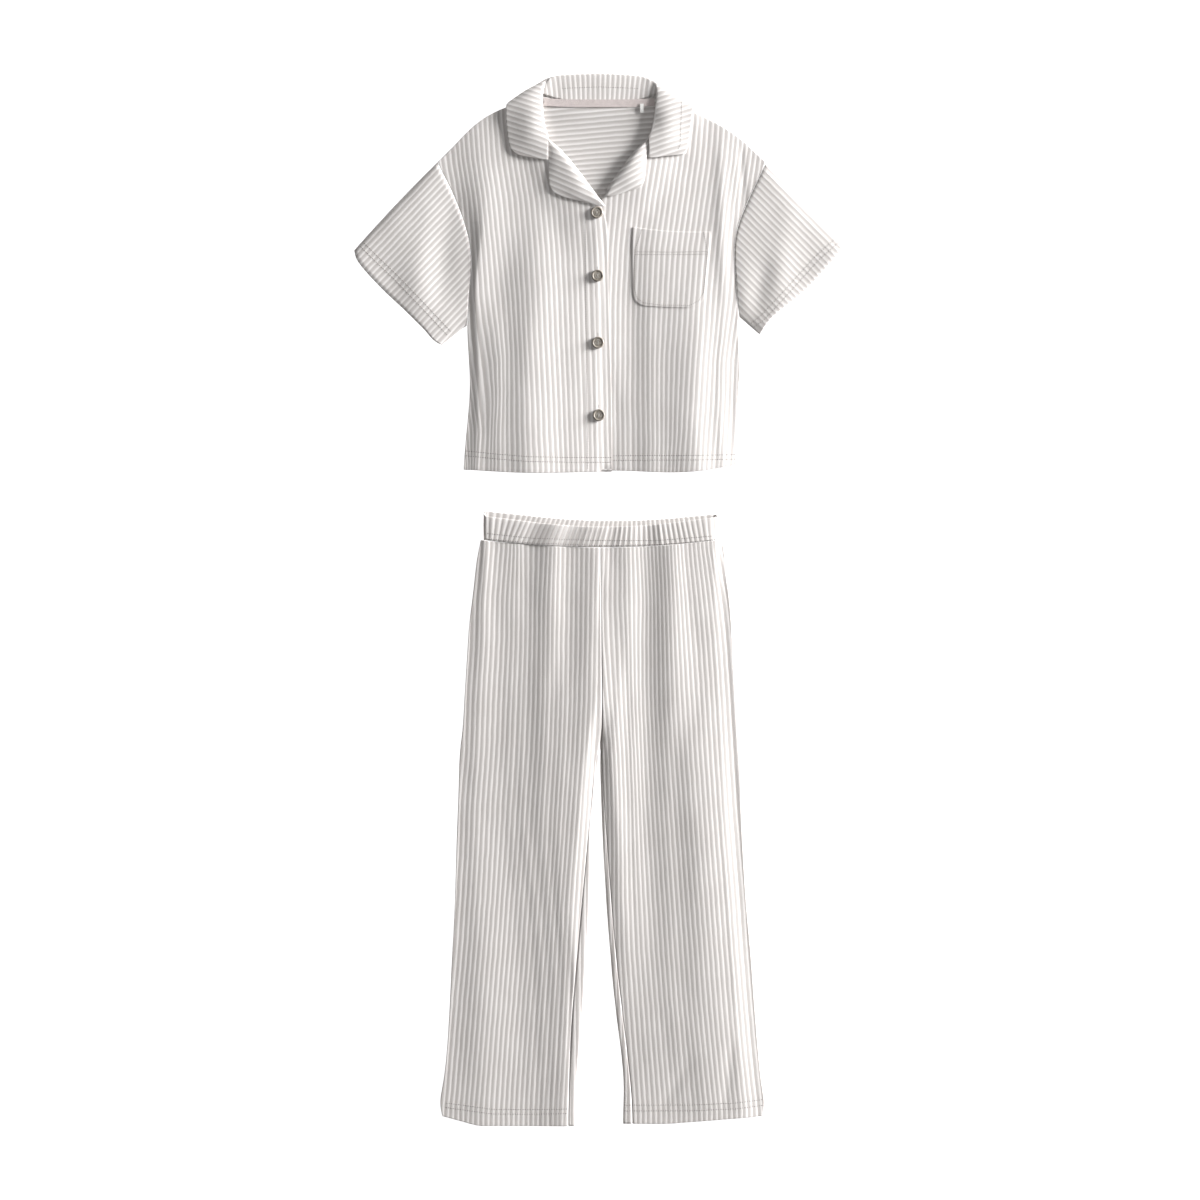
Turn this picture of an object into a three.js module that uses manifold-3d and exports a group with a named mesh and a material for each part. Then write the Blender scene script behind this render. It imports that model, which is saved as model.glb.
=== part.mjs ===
// A child's pyjama set laid flat: a short-sleeved notched-collar shirt above its elastic-waist trousers.
// Millimetres. X runs to the viewer's right, Y towards the collar, Z up off the surface it lies on.
// Left and right in the names are the wearer's, so the right front is the one at the viewer's left.
import * as THREE from 'three';
import { mergeVertices } from 'three/addons/utils/BufferGeometryUtils.js';
import Module from 'manifold-3d';

const wasm = await Module();
wasm.setup();

const { clamp, degToRad, lerp, smoothstep } = THREE.MathUtils;

// Cloth and how its layers stack
const CLOTH = 1.2;
const SEAM_GAP = 0.3;
const HALF = CLOTH / 2;
const LAYER = CLOTH + SEAM_GAP;
const OVERLAY = LAYER + 0.15;
const BACK_LEVEL = HALF;
const FRONT_LEVEL = BACK_LEVEL + LAYER;

// Shirt body
const LAP_START = -54;
const LAP_FULL = -24;
const FRONT_COLUMNS = 19;
const FRONT_RIGHT = { outer: 'left', edge: 'lap', shoulder: 15, hem: 3, peak: 0.45 };
const FRONT_LEFT = { outer: 'right', edge: 'under', shoulder: 9.5, hem: 6.6, peak: 0.35 };
const BOW_SHARPNESS = 4;
const NECK_DEPTH_Y = 619.5;
const NECK_POINT_X = 74;
const NECK_POINT_RISE = 12.5;

// Collar
const COLLAR_CLOTH = 1.6;
const COLLAR_HALF = COLLAR_CLOTH / 2;
const COLLAR_FOLD = 1.5;
const COLLAR_SEAT = HALF + COLLAR_HALF + 0.9;
const COLLAR_LIFT = 2.5;
const NECK_RAISE = COLLAR_CLOTH + SEAM_GAP + 0.2;
const ARMHOLE_FOOT_Y = 423;
const RAISE_FOOT = 0.85;
const RAISE_HEAD = 0.925;

// Back neck facing, its tape and the small hanging loop
const FACING_WIDTH = 160;
const FACING_CENTRE_Y = 614;
const FACING_REACH_X = 84;
const FACING_REACH_Y = 146;
const FACING_SHOULDER_Y = 628;
const TAPE_CLOTH = 0.9;
const TAPE_WIDTH = 9.5;
const TAPE_ENDS = [-69.3, 68];
const LOOP_SIZE = { width: 4.5, length: 11, cloth: 0.8, x: 52.2, top: 618.5 };

// Buttons
const BUTTON = { radius: 7.5, thickness: 2.6, rim: 0.5, holeRadius: 0.9, holeSpacing: 4.4 };
const BUTTON_PLACES = [
  { x: -4, y: 482.5 },
  { x: -3, y: 404 },
  { x: -2.5, y: 320.5 },
  { x: -1.5, y: 230 },
];

// Sleeves
const SLEEVE_LOFT = { middle: 1.7, least: 0.3, most: 3.2 };
const SLEEVE_LIFT = 0.2;
const SLEEVE_ROUND = 19;
const SLEEVE_BEND = 1.1;
const SLEEVE_CROWN = 2.4;
const ARMHOLE_GAP = 1.5 * SEAM_GAP;

// Trousers. Their waist seam and the waistband's two upper edges dip in the middle.
const BAND_WALL = 2.6;
const BAND_HOLLOW = 1.4;
const BAND_GATHERS = 46;
const GATHER_RISE = 0.9;
const BAND_LEFT = -146;
const BAND_RIGHT = 147.5;
const WAIST_SEAM = { middle: 65, dip: 9.5, reach: 147.5, tilt: 0 };
const BAND_FRONT_TOP = { middle: 91, dip: 12, reach: 140, tilt: -0.8 };
const BAND_BACK_TOP = { middle: 98.7, dip: 9.5, reach: 140, tilt: -2 };
const HEM_START = { right: 152, left: 85 };
const HEM_SLOPE = { right: 0.27, left: 0.08 };
const HEM_EASE = -600;
const SELVEDGE = 3;

// Each row crosses the body from armhole or side seam to the front edge, hem first.
// lap is the right front's edge; under is the left front's edge, which lies beneath it.
// bow is the share of the shoulder's bulge on that row, and below zero of the hem's sag.
const BODY_ROWS = [
  { left: [-170.5, 162], lap: [15, 159.5], under: [-18, 160.5], right: [170, 168], bow: -1 },
  { left: [-168, 199.5], lap: [15, 199.5], under: [-18, 199.5], right: [169, 199.5], bow: 0 },
  { left: [-162.5, 249.5], lap: [14.5, 254.5], under: [-18, 254.5], right: [171.8, 246], bow: 0 },
  { left: [-162.5, 284.5], lap: [13, 303], under: [-18, 303], right: [176.5, 300], bow: 0 },
  { left: [-165.5, 323.5], lap: [11, 355.5], under: [-18, 355.5], right: [171.5, 330], bow: 0 },
  { left: [-166, 342.5], lap: [10.5, 377], under: [-18, 377], right: [173.5, 353.5], bow: 0 },
  { left: [-164.5, 374.5], lap: [10, 405.5], under: [-18, 402], right: [171, 377], bow: 0 },
  { left: [-162, 398], lap: [10, 427], under: [-18, 427], right: [170, 398], bow: 0 },
  { left: [-159.5, 422], lap: [10, 449.5], under: [-17.5, 452], right: [167.5, 425], bow: 0 },
  { left: [-164, 454.5], lap: [7, 486], under: [-12.5, 480], right: [168, 455], bow: 0 },
  { left: [-174, 484.5], lap: [-17.5, 519.5], under: [3, 499.5], right: [177, 481], bow: 0.05 },
  { left: [-185, 510.5], lap: [-46.5, 556.5], under: [24, 531], right: [190, 510.5], bow: 0.2 },
  { left: [-194, 528], lap: [-69, 575.5], under: [65.5, 577], right: [198.5, 527.5], bow: 0.5 },
  { left: [-199, 537.5], lap: [-84.5, 603], under: [82, 603], right: [203, 537], bow: 0.8 },
  { left: [-202.5, 547], lap: [-76.5, 632], under: [76, 631.5], right: [207, 546.5], bow: 1 },
];
const UNDERARM_ROW = 5;
const ARMHOLE_ROWS = BODY_ROWS.slice(UNDERARM_ROW).reverse();

// How far a garment's upper layer stands off the layer beneath: crests and valleys that run down the
// cloth, left to right, with each one's place across and its rise on every row.
const SHIRT_FORM = {
  rows: [587, 530, 462, 387, 312, 237, 160],
  lines: [
    { x: [-190, -196, -165, -163, -163.5, -163, -170], rise: [0.3, 0.4, 0.8, 0.6, 0.4, 0.4, 0.4] },
    { x: [-150, -141, -145, -156, -150, -150, -150], rise: [1.8, 2.8, 4.4, 2.6, 2.3, 2.4, 2.4] },
    { x: [-112, -112, -111, -129, -120, -122, -120], rise: [1.7, 2.1, 3.4, 2.1, 4, 4.3, 4.2] },
    { x: [-80, -75, -78, -77, -86, -90, -89], rise: [1.4, 2.4, 3.9, 4.8, 6, 6.1, 6.2] },
    { x: [-25, -20, -20, -12, -5, -7, 0], rise: [2, 2.2, 2.2, 1.6, 1.5, 1.3, 0.8] },
    { x: [4, 4, 4, 4, 12, 21, 14], rise: [2, 2.4, 2.6, 1.8, 1.4, 0.6, 0.5] },
    { x: [40, 50, 40, 36, 39, 36, 36], rise: [2.2, 3.6, 1.8, 0.8, 0.7, 1, 1.3] },
    { x: [75, 81, 69, 65, 70, 70, 70], rise: [1.5, 3.1, 2.1, 1.9, 2.4, 2.9, 3.2] },
    { x: [112, 118, 121, 118, 121, 115, 121], rise: [1.8, 2, 1.6, 2.6, 4.4, 5.1, 6] },
    { x: [150, 148, 148, 152, 148, 146, 150], rise: [1.6, 1.7, 1.7, 1.4, 2.2, 2.8, 3.2] },
    { x: [192, 199, 168, 171.5, 172, 169, 170], rise: [0.3, 0.4, 0.4, 0.3, 0.3, 0.3, 0.3] },
  ],
};

// Soft ridges (rise above zero) and valleys, each running from one point to another
const SLEEVE_FOLDS = [
  { from: [-178, 350], to: [-215, 520], rise: -1, width: 13 },
  { from: [-212, 340], to: [-250, 480], rise: 1.1, width: 18 },
  { from: [-250, 360], to: [-285, 450], rise: -0.6, width: 14 },
  { from: [224, 340], to: [234, 450], rise: 1.2, width: 15 },
  { from: [255, 370], to: [262, 470], rise: -0.6, width: 16 },
];

// Cuff points, top fold first, one for each armhole row
const CUFF_RIGHT = [
  [-307.5, 436], [-305.5, 425.5], [-294.5, 411.5], [-281, 397], [-266, 381.5],
  [-248.5, 366], [-231, 348.5], [-216.5, 334.5], [-209.5, 324], [-198, 317.5],
];
const CUFF_LEFT = [
  [307, 440.5], [297, 430.5], [285, 416.5], [271, 401], [257.5, 386.5],
  [240.8, 372.5], [225, 361], [212.3, 349.5], [206.3, 341], [199.5, 331],
];

// Collar stations from the gorge round to the middle of the back.
// turn says which way the fall lies off the stand: 90 is on top, 0 is round the shoulder, -90 is beneath.
const COLLAR_RIGHT = [
  { seam: [-66.3, 575.5], roll: [-64.5, 576], edge: [-64.7, 548], turn: 90, level: 0, bow: 0.4 },
  { seam: [-68, 577.5], roll: [-65.5, 580.5], edge: [-87.5, 551], turn: 90, level: 0, bow: 1.2 },
  { seam: [-70.5, 581], roll: [-67.5, 585.5], edge: [-109, 555.5], turn: 90, level: 0, bow: 1.8 },
  { seam: [-73.5, 586], roll: [-69, 591], edge: [-114, 567], turn: 90, level: 0, bow: 2 },
  { seam: [-78, 596], roll: [-70.3, 599], edge: [-116, 583], turn: 90, level: 0, bow: 2 },
  { seam: [-79.5, 609], roll: [-71.5, 612], edge: [-117.5, 600.5], turn: 90, level: 0, bow: 1.6 },
  { seam: [-77.5, 620], roll: [-72.3, 625], edge: [-117.2, 611.5], turn: 76, level: 7.9, bow: 1.6 },
  { seam: [-75.5, 628], roll: [-71.6, 637], edge: [-116.3, 616], turn: 42, level: 7, bow: 1.8 },
  { seam: [-73.5, 634], roll: [-69.5, 645], edge: [-114, 618.5], turn: 0, level: 5, bow: 2 },
  { seam: [-68, 631.5], roll: [-65, 651], edge: [-109, 620.5], turn: -50, level: 3.6, bow: 1.2 },
  { seam: [-60, 627], roll: [-57, 654], edge: [-96, 621], turn: -90, level: 2.3, bow: 0 },
  { seam: [-42, 622.8], roll: [-40, 655.5], edge: [-64, 614], turn: -90, level: 2.3, bow: 0 },
  { seam: [-21, 621], roll: [-20, 656.2], edge: [-32, 610], turn: -90, level: 2.3, bow: 0 },
];
const COLLAR_MIDDLE = { seam: [0, 620.8], roll: [0, 656.6], edge: [0, 609], turn: -90, level: 2.3, bow: 0 };
const COLLAR_LEFT = [
  { seam: [62.3, 576.5], roll: [60.5, 577], edge: [60.6, 550.5], turn: 90, level: 0, bow: 0.4 },
  { seam: [64.5, 578.5], roll: [62.3, 582], edge: [85, 553], turn: 90, level: 0, bow: 1.2 },
  { seam: [67.5, 582], roll: [64.5, 588], edge: [106.5, 556], turn: 90, level: 0, bow: 1.8 },
  { seam: [70.5, 587], roll: [66, 594], edge: [110.5, 566], turn: 90, level: 0, bow: 2 },
  { seam: [75.5, 597], roll: [67.5, 601], edge: [113, 582], turn: 90, level: 0, bow: 2 },
  { seam: [77.5, 609], roll: [69, 612], edge: [114.5, 600.5], turn: 90, level: 0, bow: 1.6 },
  { seam: [76.5, 620], roll: [70.8, 625], edge: [116.3, 611.5], turn: 76, level: 7.9, bow: 1.6 },
  { seam: [75, 628], roll: [70.5, 637], edge: [115.8, 617], turn: 42, level: 7, bow: 1.4 },
  { seam: [73, 634], roll: [68, 645.5], edge: [111.5, 618.8], turn: 0, level: 5, bow: 1 },
  { seam: [67, 631.5], roll: [63.7, 650], edge: [103, 618], turn: -50, level: 3.6, bow: 0.4 },
  { seam: [59, 627], roll: [55, 653.5], edge: [93, 621], turn: -90, level: 2.3, bow: 0 },
  { seam: [41.5, 622.8], roll: [38, 655], edge: [62, 614], turn: -90, level: 2.3, bow: 0 },
  { seam: [21, 621], roll: [19, 656.1], edge: [31, 610], turn: -90, level: 2.3, bow: 0 },
];

// Lapels: points on the roll line and the outer edge across from them, gorge first
const LAPEL_RIGHT = [
  { roll: [-64.5, 574.9], outer: [-64, 571.5] },
  { roll: [-58.5, 570], outer: [-64, 560] },
  { roll: [-50, 563], outer: [-64, 548] },
  { roll: [-41, 553], outer: [-64, 535] },
  { roll: [-31, 541], outer: [-64, 521.5] },
  { roll: [-22, 529], outer: [-62, 511.5] },
  { roll: [-14, 518.5], outer: [-54.5, 505] },
  { roll: [-6.5, 508], outer: [-40, 500] },
  { roll: [0.5, 498.5], outer: [-22, 496] },
  { roll: [7, 490.5], outer: [1, 490] },
];
const LAPEL_LEFT = [
  { roll: [60.2, 575.9], outer: [60, 572.5] },
  { roll: [55, 572], outer: [59.8, 563] },
  { roll: [46, 563], outer: [58.3, 549] },
  { roll: [38, 554], outer: [57, 537] },
  { roll: [31, 544], outer: [56, 525.5] },
  { roll: [24, 534.5], outer: [53, 515] },
  { roll: [17, 525], outer: [43.5, 511.5] },
  { roll: [11.5, 517], outer: [32, 508.5] },
  { roll: [8, 509], outer: [19, 504] },
  { roll: [7, 504.5], outer: [11.5, 502.5] },
];

const POCKET_ROWS = [
  { left: [41, 465], right: [137.5, 459.2], bow: -2.4, cloth: 1.9 },
  { left: [40.6, 449], right: [137, 446], bow: 0, cloth: 1.9 },
  { left: [40.5, 433.2], right: [136, 432.6], bow: 0, cloth: 1.9 },
  { left: [40.7, 432], right: [135.2, 431.4], bow: 0, cloth: 1.2 },
  { left: [41, 405.5], right: [132.5, 405.5], bow: 0, cloth: 1.2 },
  { left: [41.3, 382], right: [131, 380.5], bow: 0, cloth: 1.2 },
  { left: [43, 375], right: [129, 374], bow: 0, cloth: 1.2 },
  { left: [47.5, 369.5], right: [124, 368.5], bow: -0.4, cloth: 1.2 },
  { left: [55, 366.8], right: [114, 364.4], bow: -0.8, cloth: 1.2 },
];

// Trouser rows from the waist seam down. side is the outer edge, seam is where the front panel meets the
// centre front and then the inner-leg seam, inner is the leg's inner edge, round which the back panel curls.
const TROUSER_RIGHT_LEG = [
  { y: 65, side: -149, seam: 0.1, inner: 0.3, curl: 0 },
  { y: 55, side: -151, seam: 0.1, inner: 0.3, curl: 0 },
  { y: 42, side: -154, seam: 0.3, inner: 0.5, curl: 0 },
  { y: 24, side: -156, seam: 0.7, inner: 0.8, curl: 0 },
  { y: 0, side: -159, seam: 1, inner: 1, curl: 0 },
  { y: -32, side: -164, seam: 1.4, inner: 1.2, curl: 0 },
  { y: -70, side: -166, seam: 1.8, inner: 1.2, curl: 0 },
  { y: -115, side: -169, seam: 2.4, inner: 1, curl: 0 },
  { y: -160, side: -171, seam: 2.8, inner: 0.6, curl: 0 },
  { y: -182, side: -174.3, seam: -0.4, inner: -1.2, curl: 0 },
  { y: -203, side: -175.8, seam: -4.6, inner: -2.6, curl: 1 },
  { y: -232, side: -176.3, seam: -8.5, inner: -5.5, curl: 1 },
  { y: -275, side: -178, seam: -13, inner: -10, curl: 1 },
  { y: -325, side: -180, seam: -17.5, inner: -10.8, curl: 1 },
  { y: -382, side: -181, seam: -23, inner: -12.4, curl: 1 },
  { y: -445, side: -185, seam: -28.5, inner: -15.5, curl: 1 },
  { y: -507, side: -187.5, seam: -34.5, inner: -19.9, curl: 1 },
  { y: -563, side: -191, seam: -37.5, inner: -24.5, curl: 1 },
  { y: -600, side: -195, seam: -38.5, inner: -28.5, curl: 1 },
  { y: -626, side: -199.5, seam: -39, inner: -30, curl: 1 },
  { y: -645, side: -199.6, seam: -39.5, inner: -30, curl: 1 },
  { y: -657.1, side: -197, seam: -39.5, inner: -30, curl: 1 },
];
const TROUSER_LEFT_LEG = [
  { y: 65, side: 152, seam: 0.5, inner: 0.7, curl: 0 },
  { y: 55, side: 154.5, seam: 0.5, inner: 0.7, curl: 0 },
  { y: 42, side: 156, seam: 0.7, inner: 0.9, curl: 0 },
  { y: 24, side: 157.5, seam: 1.1, inner: 1.2, curl: 0 },
  { y: 0, side: 161.5, seam: 1.4, inner: 1.4, curl: 0 },
  { y: -32, side: 164.3, seam: 1.8, inner: 1.6, curl: 0 },
  { y: -70, side: 166, seam: 2.2, inner: 1.6, curl: 0 },
  { y: -115, side: 168.5, seam: 2.8, inner: 1.4, curl: 0 },
  { y: -160, side: 171, seam: 3.2, inner: 1, curl: 0 },
  { y: -182, side: 172.3, seam: 2.8, inner: -0.6, curl: 0 },
  { y: -203, side: 174, seam: 2.4, inner: -0.6, curl: 1 },
  { y: -232, side: 176, seam: 3.8, inner: 0.5, curl: 1 },
  { y: -275, side: 176.5, seam: 6.5, inner: 2, curl: 1 },
  { y: -325, side: 179.3, seam: 10.5, inner: 4, curl: 1 },
  { y: -382, side: 182.5, seam: 14.5, inner: 7.6, curl: 1 },
  { y: -445, side: 189, seam: 20, inner: 12.5, curl: 1 },
  { y: -507, side: 193, seam: 27, inner: 18, curl: 1 },
  { y: -563, side: 197.5, seam: 34, inner: 26, curl: 1 },
  { y: -600, side: 201, seam: 38, inner: 29.5, curl: 1 },
  { y: -626, side: 205, seam: 40, inner: 29, curl: 1 },
  { y: -640, side: 205.4, seam: 40.5, inner: 28.5, curl: 1 },
  { y: -654.3, side: 203, seam: 41, inner: 28.5, curl: 1 },
];

const TROUSER_FORM = {
  rows: [62, 0, -63, -126, -200, -288, -376, -463, -551, -638],
  lines: [
    {
      x: [-151, -159, -164.5, -169.5, -174, -178.5, -181, -185.5, -190, -199],
      rise: [0.3, 0.3, 0.3, 0.3, 0.3, 0.3, 0.3, 0.3, 0.3, 0.3],
    },
    {
      x: [-143, -146, -147.5, -150, -152.5, -155, -152, -145, -142.5, -142.5],
      rise: [1.6, 1.6, 1.5, 1.5, 1.4, 1.3, 1.6, 2, 2.2, 1.8],
    },
    {
      x: [-129, -130, -126, -125, -125, -122.5, -110, -102.5, -100, -94],
      rise: [0.6, 0.7, 0.8, 1, 1.2, 1, 1, 1.1, 1.6, 1.3],
    },
    {
      x: [-101, -105, -104, -105, -107.5, -107.5, -92.5, -85, -82.5, -80],
      rise: [1.5, 1.5, 1.3, 1.7, 1.7, 1.5, 1.5, 1.6, 1.9, 1.6],
    },
    {
      x: [-91, -94, -94, -95, -95, -92.5, -77.5, -69, -67.5, -66],
      rise: [1.2, 1.3, 1.5, 2, 2.3, 2.2, 2.3, 2.5, 2.6, 2.2],
    },
    {
      x: [-57.5, -60, -59, -64, -65, -67.5, -60, -52.5, -54, -56],
      rise: [3.8, 3.8, 3.7, 4.2, 4.2, 3.6, 3.2, 3.4, 3.3, 2.7],
    },
    {
      x: [-40, -41, -41, -42.5, -42.5, -47.5, -47.5, -41, -46, -50],
      rise: [2.7, 2.8, 3.2, 4.9, 5, 4.5, 4.1, 4.1, 3.7, 3],
    },
    {
      x: [-5, -6, -11, -7.5, -20, -29, -39, -32.5, -41, -46],
      rise: [4.2, 4.4, 4.9, 6.2, 5.6, 5, 4.3, 4.4, 3.8, 3],
    },
    {
      x: [0.6, 0.6, 0.6, 0.6, -3, -9.5, -12.5, -18, -25, -30],
      rise: [3.9, 4, 4.6, 5.9, 2.4, 2.4, 2.2, 2.2, 2.2, 1.8],
    },
    {
      x: [2, 2, 2, 2, -0.5, 3, 7.5, 13, 24, 30],
      rise: [3.7, 3.9, 4.5, 5.8, 2.4, 2.2, 2, 2, 1.8, 1.6],
    },
    {
      x: [12.5, 15, 20, 20, 15, 22.5, 26, 35, 45, 62.5],
      rise: [3.1, 3.7, 3.9, 4.8, 4.6, 4, 3.4, 2.7, 2.3, 2],
    },
    {
      x: [34, 34, 32.5, 37.5, 37.5, 40, 44, 50, 60, 80],
      rise: [3.9, 4, 3.7, 3.3, 3.1, 2.8, 2.5, 2.6, 2.6, 2.2],
    },
    {
      x: [57.5, 57.5, 56, 59, 60, 57.5, 62.5, 62.5, 75, 95],
      rise: [2.6, 2.2, 2, 2, 1.9, 2, 2, 2.6, 2.9, 2.3],
    },
    {
      x: [91, 91, 91, 91, 90, 90, 94, 94, 100, 112.5],
      rise: [4.7, 4.6, 4.5, 4.5, 3.5, 3.4, 3.2, 3.5, 3.8, 2.6],
    },
    {
      x: [110, 115, 125, 129, 114, 122.5, 127.5, 132.5, 127.5, 132.5],
      rise: [3.7, 3.2, 2.6, 3, 4.4, 5, 4.7, 4.8, 4.6, 3.1],
    },
    {
      x: [141, 141, 143, 146, 149, 152.5, 158, 164, 168, 174],
      rise: [3.4, 3, 2.9, 3, 4, 4.6, 4.3, 4.5, 4.4, 3.2],
    },
    {
      x: [154.5, 160, 164.5, 168.5, 172.5, 176, 182, 190, 196.5, 205.5],
      rise: [0.3, 0.3, 0.3, 0.3, 0.3, 0.3, 0.3, 0.3, 0.3, 0.3],
    },
  ],
};

const COLOURS = {
  jersey: 0xd9d4cf,
  tape: 0xded0cb,
  loop: 0xf2f0ee,
  button: 0x9c9184,
};

function clothMaterial(colour) {
  return new THREE.MeshStandardMaterial({ color: colour, roughness: 0.92, metalness: 0 });
}

const point = (plan, z) => new THREE.Vector3(plan[0], plan[1], z);
const planLerp = (a, b, t) => [lerp(a[0], b[0], t), lerp(a[1], b[1], t)];

// A volume below zero means that the faces point inwards
function signedVolume(positions, index) {
  const [a, b, c] = [new THREE.Vector3(), new THREE.Vector3(), new THREE.Vector3()];
  let volume = 0;
  for (let i = 0; i < index.length; i += 3) {
    a.fromArray(positions, index[i] * 3);
    b.fromArray(positions, index[i + 1] * 3);
    c.fromArray(positions, index[i + 2] * 3);
    volume += a.dot(b.cross(c)) / 6;
  }
  return volume;
}

// Closes two like grids of points, the two faces of a wall, into one body.
// In a ring the last column joins the first.
function wallGeometry(outer, inner, ring = false) {
  const rows = outer.length;
  const columns = outer[0].length;
  const positions = [outer, inner].flatMap((grid) => grid.flatMap((row) => row.flatMap((p) => p.toArray())));
  const index = [];
  const at = (side, row, column) => (side * rows + row) * columns + (column % columns);
  const quad = (a, b, c, d) => index.push(a, b, c, a, c, d);
  const spans = ring ? columns : columns - 1;
  const last = rows - 1;
  for (let r = 0; r < last; r += 1) {
    for (let c = 0; c < spans; c += 1) {
      quad(at(0, r, c), at(0, r, c + 1), at(0, r + 1, c + 1), at(0, r + 1, c));
      quad(at(1, r, c), at(1, r + 1, c), at(1, r + 1, c + 1), at(1, r, c + 1));
    }
    if (!ring) {
      quad(at(0, r, 0), at(0, r + 1, 0), at(1, r + 1, 0), at(1, r, 0));
      quad(at(1, r, spans), at(1, r + 1, spans), at(0, r + 1, spans), at(0, r, spans));
    }
  }
  for (let c = 0; c < spans; c += 1) {
    quad(at(1, 0, c), at(1, 0, c + 1), at(0, 0, c + 1), at(0, 0, c));
    quad(at(0, last, c), at(0, last, c + 1), at(1, last, c + 1), at(1, last, c));
  }
  if (signedVolume(positions, index) < 0) {
    index.reverse();
  }
  const geometry = new THREE.BufferGeometry();
  geometry.setAttribute('position', new THREE.Float32BufferAttribute(positions, 3));
  geometry.setIndex(index);
  geometry.computeVertexNormals();
  return geometry;
}

// A sheet that lies flat: its middle surface, thickened straight up and down
function sheetGeometry(middle, cloth = () => CLOTH) {
  const moved = (p, rise) => new THREE.Vector3(p.x, p.y, p.z + rise);
  const face = (side) => middle.map((row, r) => row.map((p) => moved(p, side * cloth(r) / 2)));
  return wallGeometry(face(1), face(-1));
}

// A value given on rows, which run downwards, at any height between them
function alongRows(rows, values, y) {
  const below = rows.findIndex((row) => row < y);
  if (below === 0) {
    return values[0];
  }
  if (below < 0) {
    return values[values.length - 1];
  }
  const share = (rows[below - 1] - y) / (rows[below - 1] - rows[below]);
  return lerp(values[below - 1], values[below], share);
}

// How far a garment's upper layer stands off at a point of the plan
function formRise(form, x, y) {
  const line = form.lines.map((entry) => alongRows(form.rows, entry.x, y));
  const rise = form.lines.map((entry) => alongRows(form.rows, entry.rise, y));
  const next = line.findIndex((place) => place > x);
  if (next === 0) {
    return rise[0];
  }
  if (next < 0) {
    return rise[rise.length - 1];
  }
  return lerp(rise[next - 1], rise[next], smoothstep(x, line[next - 1], line[next]));
}

// How far the folds lift a sleeve at a point of the plan
function foldRise(folds, x, y) {
  let rise = 0;
  for (const fold of folds) {
    const along = (y - fold.from[1]) / (fold.to[1] - fold.from[1]);
    const centre = lerp(fold.from[0], fold.to[0], along);
    const fade = smoothstep(along, -0.05, 0.18) * (1 - smoothstep(along, 0.72, 1.05));
    rise += fold.rise * fade * Math.exp(-(((x - centre) / fold.width) ** 2));
  }
  return rise;
}

// A line across the back, a share of the way from the foot of the armholes up to its top edge
function backLine(x, share) {
  return lerp(ARMHOLE_FOOT_Y, backTop(x), share);
}

// The back panel rises near the neck, where the collar's fall lies beneath it
function neckRaise(x, y) {
  const foot = backLine(x, RAISE_FOOT);
  const climb = clamp((y - foot) / (backLine(x, RAISE_HEAD) - foot), 0, 1);
  return NECK_RAISE * climb * (1 - smoothstep(Math.abs(x), 119, 131));
}

// The fronts rise where they lie on the back neck facing
function facingRaise(x, y) {
  const reach = Math.hypot(x / FACING_REACH_X, (y - FACING_CENTRE_Y) / FACING_REACH_Y);
  return OVERLAY * (1 - smoothstep(reach, 1.02, 1.2));
}

// Middle height of a front panel
function frontHeight(x, y) {
  return FRONT_LEVEL + neckRaise(x, y) + facingRaise(x, y) + formRise(SHIRT_FORM, x, y);
}

function lapLift(x) {
  return OVERLAY * smoothstep(x, LAP_START, LAP_FULL);
}

// A bow's height, as a share of its most, a share of the way from its outer to its inner end
function bowShape(peak, u) {
  const rising = (u / peak) ** (BOW_SHARPNESS * peak);
  const falling = ((1 - u) / (1 - peak)) ** (BOW_SHARPNESS * (1 - peak));
  return rising * falling;
}

function frontPanel(front, lift) {
  const middle = BODY_ROWS.map((row) => {
    const bow = row.bow * (row.bow < 0 ? front.hem : front.shoulder);
    const line = [];
    for (let c = 0; c < FRONT_COLUMNS; c += 1) {
      const u = c / (FRONT_COLUMNS - 1);
      const [x, yLine] = planLerp(row[front.outer], row[front.edge], u);
      const y = yLine + bow * bowShape(front.peak, u);
      line.push(new THREE.Vector3(x, y, frontHeight(x, y) + lift(x)));
    }
    return line;
  });
  return sheetGeometry(middle);
}

// Back neckline, from one neck point over the low middle to the other
function neckline(x) {
  return NECK_DEPTH_Y + NECK_POINT_RISE * (Math.abs(x) / NECK_POINT_X) ** 4;
}

function backTop(x) {
  const row = BODY_ROWS[BODY_ROWS.length - 1];
  if (Math.abs(x) <= NECK_POINT_X) {
    return neckline(x);
  }
  const front = x < 0 ? FRONT_RIGHT : FRONT_LEFT;
  const [outer, inner] = [row[front.outer], row[front.edge]];
  const u = clamp((x - outer[0]) / (inner[0] - outer[0]), 0, 1);
  return lerp(outer[1], NECK_DEPTH_Y + NECK_POINT_RISE, u) + front.shoulder * bowShape(front.peak, u);
}

const BACK_COLUMNS = [0, 0.09, 0.18, 0.25, 0.315, 0.35, 0.42, 0.5, 0.58, 0.64, 0.676, 0.75, 0.82, 0.91, 1];
const BACK_CLIMB = [0, 0.26, 0.5, 0.71, RAISE_FOOT, RAISE_HEAD, 1];

function backPanel() {
  const climbStart = BODY_ROWS.length - BACK_CLIMB.length;
  const middle = BODY_ROWS.map((row, r) => BACK_COLUMNS.map((u) => {
    const [x, yLine] = planLerp(row.left, row.right, u);
    const atSeam = u === 0 || u === 1;
    const y = atSeam || r <= climbStart ? yLine : backLine(x, BACK_CLIMB[r - climbStart]);
    return new THREE.Vector3(x, y, BACK_LEVEL + neckRaise(x, y));
  }));
  return sheetGeometry(middle);
}

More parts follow.
